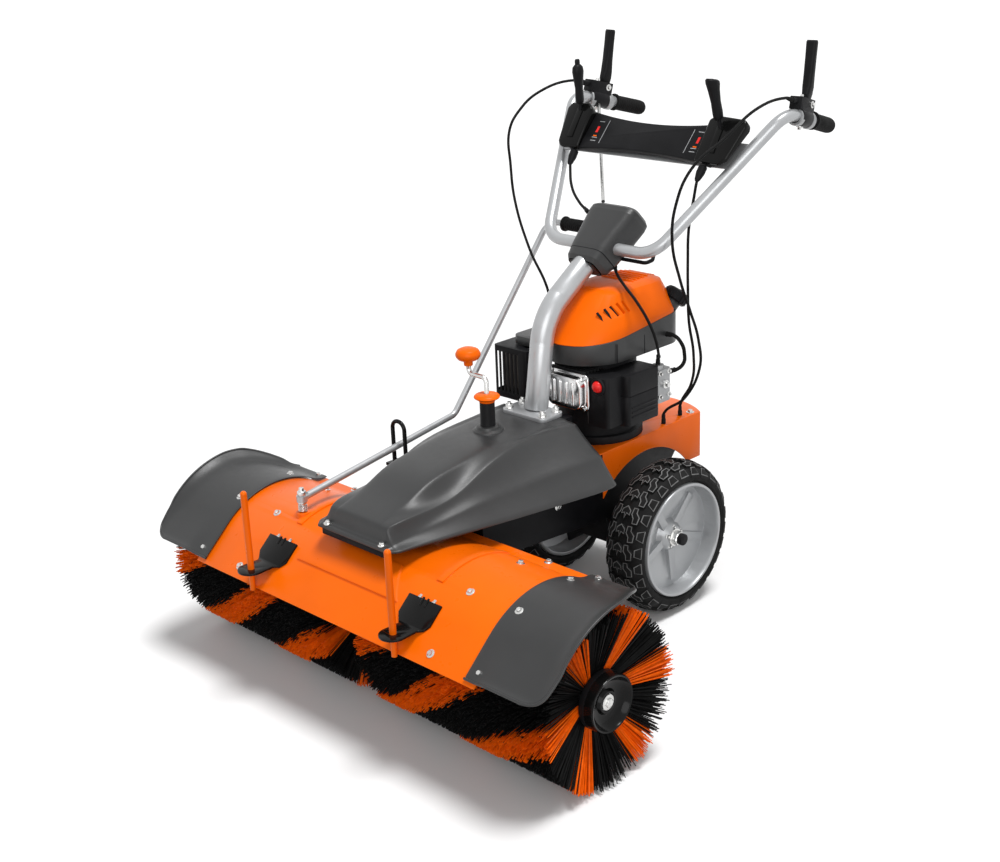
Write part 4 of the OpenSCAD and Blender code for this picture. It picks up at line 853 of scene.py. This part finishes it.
# %% [markdown]
# Plated flange screws hold the hood, the end guards and the cover. On the hood and the guards they sit in
# rows, and each one is set down on the sheet by a line shot at it from outside, so it faces the way the
# sheet faces there.

# %% Screws on the brush head
sheet_screw, shot_from = 9, 320
bm = bmesh.new()
for s in (-1, 1):
    for node, x in (("end_guards", 394), ("hood", 274)):
        for out in (spoke(75), spoke(114)):
            at, face = touch(node, hood_centre + Vector((s * x, 0, 0)) + out * shot_from, -out)
            screw(bm, at, face, sheet_screw)
        for y in (-584, -284):
            at, face = touch(node, (s * x, y, 500), (0, 0, -1))
            screw(bm, at, face, sheet_screw)
piece("hood_screws", bm, "bright_steel", "head")
bm = bmesh.new()
for s in (-1, 1):
    screw(bm, (s * 77, -512, 367), (0, 0, 1), sheet_screw)
    screw(bm, (s * 190, -40, 361), (0, 0, 1), sheet_screw)
piece("cover_screws", bm, "bright_steel", "chassis")
tell()

# %% [markdown]
# The engine gets the small parts that a bare casting lacks: bolts and ridges on the plated valve cover,
# black blocks on the floors of the cooling vents as painted shade inside them, ribs along the crown of the
# fan cover, a recoil handle, an oil filler, a soft red primer bulb in its bezel, a ribbed fuel cap, and
# ribs and screws beside the air filter.

# %% Engine details
bm = bmesh.new()
for x, z in ((-5, 478), (83, 478), (-5, 542), (83, 542)):
    screw(bm, (x, 38, z), (0, -1, 0), 7)
for x in (14, 31, 48, 65):
    block(bm, (9, 7, 48), (x, 20, 510), soft=3, segments=3)
piece("valve_cover_bolts_and_ridges", bm, "chrome", "chassis")

bm = bmesh.new()
vent_tilt = (14, -38, 0)
vent_way = Euler([math.radians(a) for a in vent_tilt]).to_matrix() @ Vector((1, 0, 0))
# painted shade: a black block on each vent's floor darkens the slot as the shade inside it would
for k in range(5):
    slot_floor, _ = touch("engine_cover", Vector((93, 98 + 14 * k, 668)) + vent_way * 40, -vent_way)
    block(bm, (2.4, 5.8, 25.6), slot_floor + vent_way * 0.6, vent_tilt, 0.6)
for y in (104, 190):
    block(bm, (1.2, 2.4, 40), (112.8, y, 584), soft=0.4)
piece("vent_shade_and_seams", bm, "black_plastic", "chassis")

bm = bmesh.new()
for k in range(7):
    drop = max(0, k - 4) * 2.5
    block(bm, (88 - 3 * k, 6, 9), (14, 222 + 13 * k, 698.5 - drop), soft=2.4, segments=3)
piece("fan_cover_ribs", bm, "orange_plastic", "chassis")

bm = bmesh.new()
lathe(bm, [(0, 0), (15, 0), (15, 4), (11, 7), (6, 8), (6, 14)], (-20, 321, 600), (0, 1, 0))
block(bm, (58, 15, 17), (-20, 338, 600), soft=6, segments=4)
filler_way, filler_r = (-0.2, 0.2, 1), 17
filler = [(12, 0), (12, 34), (filler_r, 36), (filler_r, 46), (14, 50), (0, 50)]
lathe(bm, filler, (-62, 232, 394), filler_way)
for k in range(10):
    a = math.radians(36 * k)
    at = (-70.5 + filler_r * math.cos(a), 240.5 + filler_r * math.sin(a), 430.5)
    lathe(bm, [(0, 0), (2, 0), (2, 9), (0, 10)], at, filler_way, 8)
piece("recoil_handle_and_oil_filler", bm, "black_plastic", "chassis")

bm = bmesh.new()
dome = [(12.4, 0), (12.4, 3), (12.2, 5), (11.3, 8), (9.2, 11.2), (5.4, 13.6), (2, 14.4), (0, 14.5)]
lathe(bm, dome, (111, 49, 529), (0, -1, 0), 36)
piece("primer_dome", bm, "red_rubber", "primer", ("primer_bulb",))
bm = bmesh.new()
bezel = [(13, -1), (18, -1), (18, 2), (16, 4.5), (13.6, 4.5), (13, 3)]
lathe(bm, bezel, (111, 47, 529), (0, -1, 0), 36)
piece("primer_bezel", bm, "black_plastic", "chassis")

cap_at, cap_way, cap_r = Vector((86, 305, 637)), (0.25, 0.62, 0.74), 26
bm, cap = bmesh.new(), bmesh.new()
cap_profile = [(18, 12), (24, 12), (cap_r, 14), (cap_r, 30), (24, 34), (18, 36.5), (16, 35.5), (0, 35.5)]
lathe(cap, cap_profile, (0, 0, 0), steps=36)
for degrees in range(0, 360, 20):
    a = math.radians(degrees)
    block(cap, (3, 4, 15), (cap_r * math.cos(a), cap_r * math.sin(a), 22), (0, 0, degrees), 1.2)
block(cap, (36, 5, 5), (0, 0, 37), soft=1.8)
add(bm, cap, cap_at, upright(cap_way))
piece("fuel_cap_ribbed", bm, "black_plastic", "fuel_cap", ("fuel_cap",))

bm = bmesh.new()
for z in (456, 466, 476):
    block(bm, (3, 78, 4), (151, 142, z), soft=1.2)
piece("air_box_ribs", bm, "black_plastic", "chassis")
bm = bmesh.new()
for y, z in ((208, 470), (236, 470), (208, 520), (236, 520)):
    screw(bm, (139, y, z), (1, 0, 0), 6)
lathe(bm, [(0, 0), (9, 0), (9, 5), (5, 6), (5, 12), (0, 12)], (139, 222, 495), (1, 0, 0))
piece("carburettor_screws", bm, "bright_steel", "chassis")
tell()

# %% [markdown]
# On the frame and the deck, plated bolts show where the plates are joined. Each is set down by a line shot
# at the plate.

# %% Bolts on frame and deck
plate_bolt = 10
bm = bmesh.new()
for s in (-1, 1):
    for y, z in ((-74, 300), (-35, 285), (-132, 318), (-200, 330), (60, 300)):
        at, face = touch("frame", (s * 300, y, z), (-s, 0, 0))
        screw(bm, at, face, plate_bolt)
    for y in (-48, 372):
        at, face = touch("deck", (s * 90, y, 500), (0, 0, -1))
        screw(bm, at, face, plate_bolt)
piece("frame_bolts", bm, "bright_steel", "chassis")
tell()

# %% [markdown]
# The levers are built in the frame of the right grip, whose axes run to the side, up and along the tube,
# and are mirrored for the left. Pivot pins and clamp bolts are plated. The shift knobs are turned and then
# flattened, with a thumb button on the left one. The dash is built flat and then tilted to lie along the
# bar: two shifter pods, each beside a short scale of coloured marks.

# %% Controls
grip_side = Vector((0.9901, 0.1407, 0))
grip_up = Vector((-0.0368, 0.2593, 0.9651))
pivot = Vector((268.4, 516.5, 1038.8))
bm = bmesh.new()
for s in (1, -1):
    flip = Vector((s, 1, 1))
    for way in (1, -1):
        screw(bm, (pivot + grip_side * 12.5 * way) * flip, grip_side * way * flip, 8)
    screw(bm, (pivot - grip_way * 26 + grip_up * 10) * flip, grip_up * flip, 7)
    screw(bm, (pivot - grip_way * 16 - grip_up * 47) * flip, -grip_up * flip, 8)
piece("lever_pins", bm, "bright_steel", "handlebar")


knob_flat, tilt_from, tilt_run = 0.8, 104, 30


def shift_knob(name, at, lean, profile, tilt):
    part = bmesh.new()
    lathe(part, [(0, -7), (4.5, -7), (4.5, 54)], (0, 0, 0), steps=16)
    knob = bmesh.new()
    lathe(knob, profile, (0, 0, 0), steps=32)
    for v in knob.verts:
        high = max(0, v.co.z / MM - tilt_from)
        v.co.x *= knob_flat
        v.co.z += tilt * v.co.y * high / tilt_run
    add(part, knob)
    bm = bmesh.new()
    add(bm, part, at, Matrix.Rotation(math.radians(lean), 4, "X"))
    piece(name + "_knob", bm, "black_plastic", name, (name,))


drop_knob = [
    (0, 50), (8, 50), (10, 54), (10.5, 62), (9.6, 82), (12.5, 106), (14, 118), (12.6, 127), (8, 132),
    (6.2, 133), (6.2, 141), (4.6, 144), (0, 144.4)]
wedge_knob = [
    (0, 50), (9, 50), (11.5, 54), (12, 64), (11.4, 86), (13.6, 110), (16, 124), (15.4, 130), (12, 133),
    (0, 134)]
shift_knob("shift_lever_left", (-188, 345.5, 980.1), 4, drop_knob, 0)
shift_knob("shift_lever_right", (188, 345.5, 980.1), 16, wedge_knob, -0.5)

lean_cos, lean_sin = 0.9936, 0.1132
lever_up = grip_up * lean_cos - grip_way * lean_sin
lever_in = grip_up * -lean_sin - grip_way * lean_cos
blade = [
    (-9, 4.5, 7, 0), (0, 5.4, 10, 0), (11, 5.6, 13, 1), (20, 8, 14, 1), (34, 10, 12, 0),
    (60, 10.5, 9.5, 0), (95, 11, 8.4, 0), (122, 11.6, 8.2, 0), (126, 10.4, 6.6, 0)]
for side, s in reversed(SIDES):
    flip = Vector((s, 1, 1))
    bm = bmesh.new()
    loft(bm, blade, pivot * flip, from_axes(grip_side * s * flip, lever_in * flip, lever_up * flip))
    piece("hand_lever_" + side, bm, "black_plastic", "lever_" + side, ("lever_" + side,))
clamp = [(12.6, 0), (17, 0), (18, 2), (18, 12), (17, 14), (12.6, 14)]
bm = bmesh.new()
for s in (1, -1):
    flip = Vector((s, 1, 1))
    for run in (-44, 8):
        lathe(bm, clamp, (pivot + grip_way * run - grip_up * 30) * flip, grip_way * flip)
piece("lever_clamps", bm, "die_cast", "handlebar")

bar_at = Vector((0, 181, 775))
dash_turn = Matrix.Rotation(math.radians(46.36), 4, "X")
mark_z, pod_z, pod_h, pod_rise, pod_foot = 28.6, 27, 9, 0.16, 203
tick, divider = (14, 1.6, 0.6), (1.2, 58, 0.6)
scale_marks = {
    "silver_paint": [(divider, (113, 252)), (tick, (132, 228)), (tick, (132, 236)), (tick, (132, 276))],
    "red_rubber": [((6, 15, 0.6), (134, 256))],
    "orange_plastic": [((9, 3, 0.6), (133, 240))]}
for slot, marks in scale_marks.items():
    part = bmesh.new()
    for s in (1, -1):
        for size, (x, w) in marks:
            block(part, size, (s * x, w, mark_z), soft=0.15, segments=1)
    bm = bmesh.new()
    add(bm, part, bar_at, dash_turn)
    piece("dash_marks_" + slot, bm, slot, "handlebar")
pod_plans = {
    "right": [(150, 206), (214, 203), (228, 214), (246, 288), (240, 302), (168, 306), (152, 296)],
    "left": [(158, 204), (206, 202), (218, 212), (228, 290), (220, 304), (172, 307), (158, 294)]}
for side, s in reversed(SIDES):
    part = bmesh.new()
    base = part.faces.new([part.verts.new(Vector((x, w, pod_z)) * MM) for x, w in pod_plans[side]])
    grown = bmesh.ops.extrude_face_region(part, geom=[base])["geom"]
    for v in (g for g in grown if isinstance(g, bmesh.types.BMVert)):
        v.co.z += (pod_h + pod_rise * (v.co.y / MM - pod_foot)) * MM
    bmesh.ops.bevel(part, geom=part.edges, offset=6 * MM, offset_type="OFFSET", affect="EDGES",
                    segments=4, profile=0.5, material=-1)
    block(part, (15, 70, 3), (188, 258, 46), (9, 0, 0), 1.2)
    bmesh.ops.scale(part, vec=(s, 1, 1), verts=part.verts)
    bm = bmesh.new()
    add(bm, part, bar_at, dash_turn)
    piece("shift_pod_" + side, bm, "black_plastic", "handlebar", ("shift_boots",), look="gloss_black")
socket = [(7, 0), (9, -2), (9, -16), (6, -30), (4, -34)]
bm = bmesh.new()
for s in (-1, 1):
    lathe(bm, socket, (s * 172, 305, 937), (s * 0.05, 0.6, 0.8))
piece("shift_cable_sockets", bm, "black_plastic", "handlebar")
tell()

# %% [markdown]
# The console that hides the handlebar's clamp is a rounded tapered hood: a loft of rounded rectangles
# along its slope, narrower towards the column, with a fine seam round its nose.

# %% Console
console_turn = Matrix.Rotation(math.radians(-50), 4, "X")
console_flare, console_depth = 0.09, 0.035
console_shape = [
    (-60, 30, 16, -2), (-57, 37, 24, -2), (-48, 43, 31, -1), (-20, 49, 34, 0), (30, 57, 35, 1),
    (70, 63, 35, 1), (82, 63, 33, 1), (89, 58, 27, 1), (91, 48, 18, 1)]
seam_shape = [(-31, 47.3, 33.2, 0), (-31, 47.6, 33.4, 0), (-29.4, 47.9, 33.4, 0), (-29.4, 47.6, 33.2, 0)]


def console_part(stations):
    part = bmesh.new()
    loft(part, stations, (0, 0, 0), square=0.42, segments=40)
    for v in part.verts:
        v.co.x *= 1 + console_flare * v.co.y / console_depth
    bm = bmesh.new()
    add(bm, part, bar_at, console_turn)
    return bm


bm = console_part(console_shape)
piece("console_hood", bm, "grey_plastic", "chassis", ("console",), sharp=50)
piece("console_seam", console_part(seam_shape), "black_plastic", "chassis")
tell()

# %% [markdown]
# The marker brackets are pressed from sheet: two raised beads stiffen each back plate, and two small
# screws hold it to the hood.

# %% Bracket beads
bm, plated = bmesh.new(), bmesh.new()
for s in (-1, 1):
    at, face = touch("marker_brackets", (s * 204, -530, 500), (0, 0, -1))
    slope = math.degrees(math.atan2(-face.y, face.z))
    for x in (-6, 6):
        block(bm, (5, 17, 3.4), at + Vector((x, 0, 0)), (slope, 0, 0), 1.6, 3)
    for x in (186, 222):
        at, face = touch("marker_brackets", (s * x, -524, 500), (0, 0, -1))
        screw(plated, at, face, 5)
piece("bracket_beads", bm, "black_paint", "head", look="gloss_black")
piece("bracket_screws", plated, "bright_steel", "head")
tell()

# %% [markdown]
# A dished cap closes each end of the brush, with one bolt in the middle that holds it on the shaft. The
# wheels are held by a ring of small nuts and by one large nut on the end of the axle.

# %% Brush caps and wheel nuts
dish = [(16, 512), (16, 521), (20, 521), (24, 516), (36, 517), (44, 522), (49, 531), (52, 532), (54, 529),
        (54, 512)]
end_bolt_x, end_bolt = 520, 16
washer = [(9, 0), (19, 0), (19, 2.4), (17, 3), (9, 3)]
axle_nut = [(9, 0), (15.5, 0), (15.5, 11), (13.5, 13), (9, 13)]
nuts, nut_circle, nut_size, nut_x, washer_x, axle_nut_x = 5, 22, 5.6, 176, 180, 182.5
bm = bmesh.new()
for s in (-1, 1):
    lathe(bm, dish, brush_at, (s, 0, 0), 48, closed=True)
piece("brush_end_dishes", bm, "black_paint", "brush", look="gloss_black")
bm = bmesh.new()
for s in (-1, 1):
    screw(bm, brush_at + Vector((s * end_bolt_x, 0, 0)), (s, 0, 0), end_bolt)
piece("brush_end_bolts", bm, "bright_steel", "brush")
for side, s in SIDES:
    bm = bmesh.new()
    for k in range(nuts):
        a = 2 * math.pi * (k + 0.5) / nuts
        ring = Vector((s * nut_x, nut_circle * math.sin(a), -nut_circle * math.cos(a)))
        screw(bm, axle + ring, (s, 0, 0), nut_size)
    lathe(bm, washer, axle + Vector((s * washer_x, 0, 0)), (s, 0, 0), 32)
    lathe(bm, axle_nut, axle + Vector((s * axle_nut_x, 0, 0)), (s, 0, 0), 6)
    piece("wheel_nuts_" + side, bm, "bright_steel", "wheel_" + side)
tell()
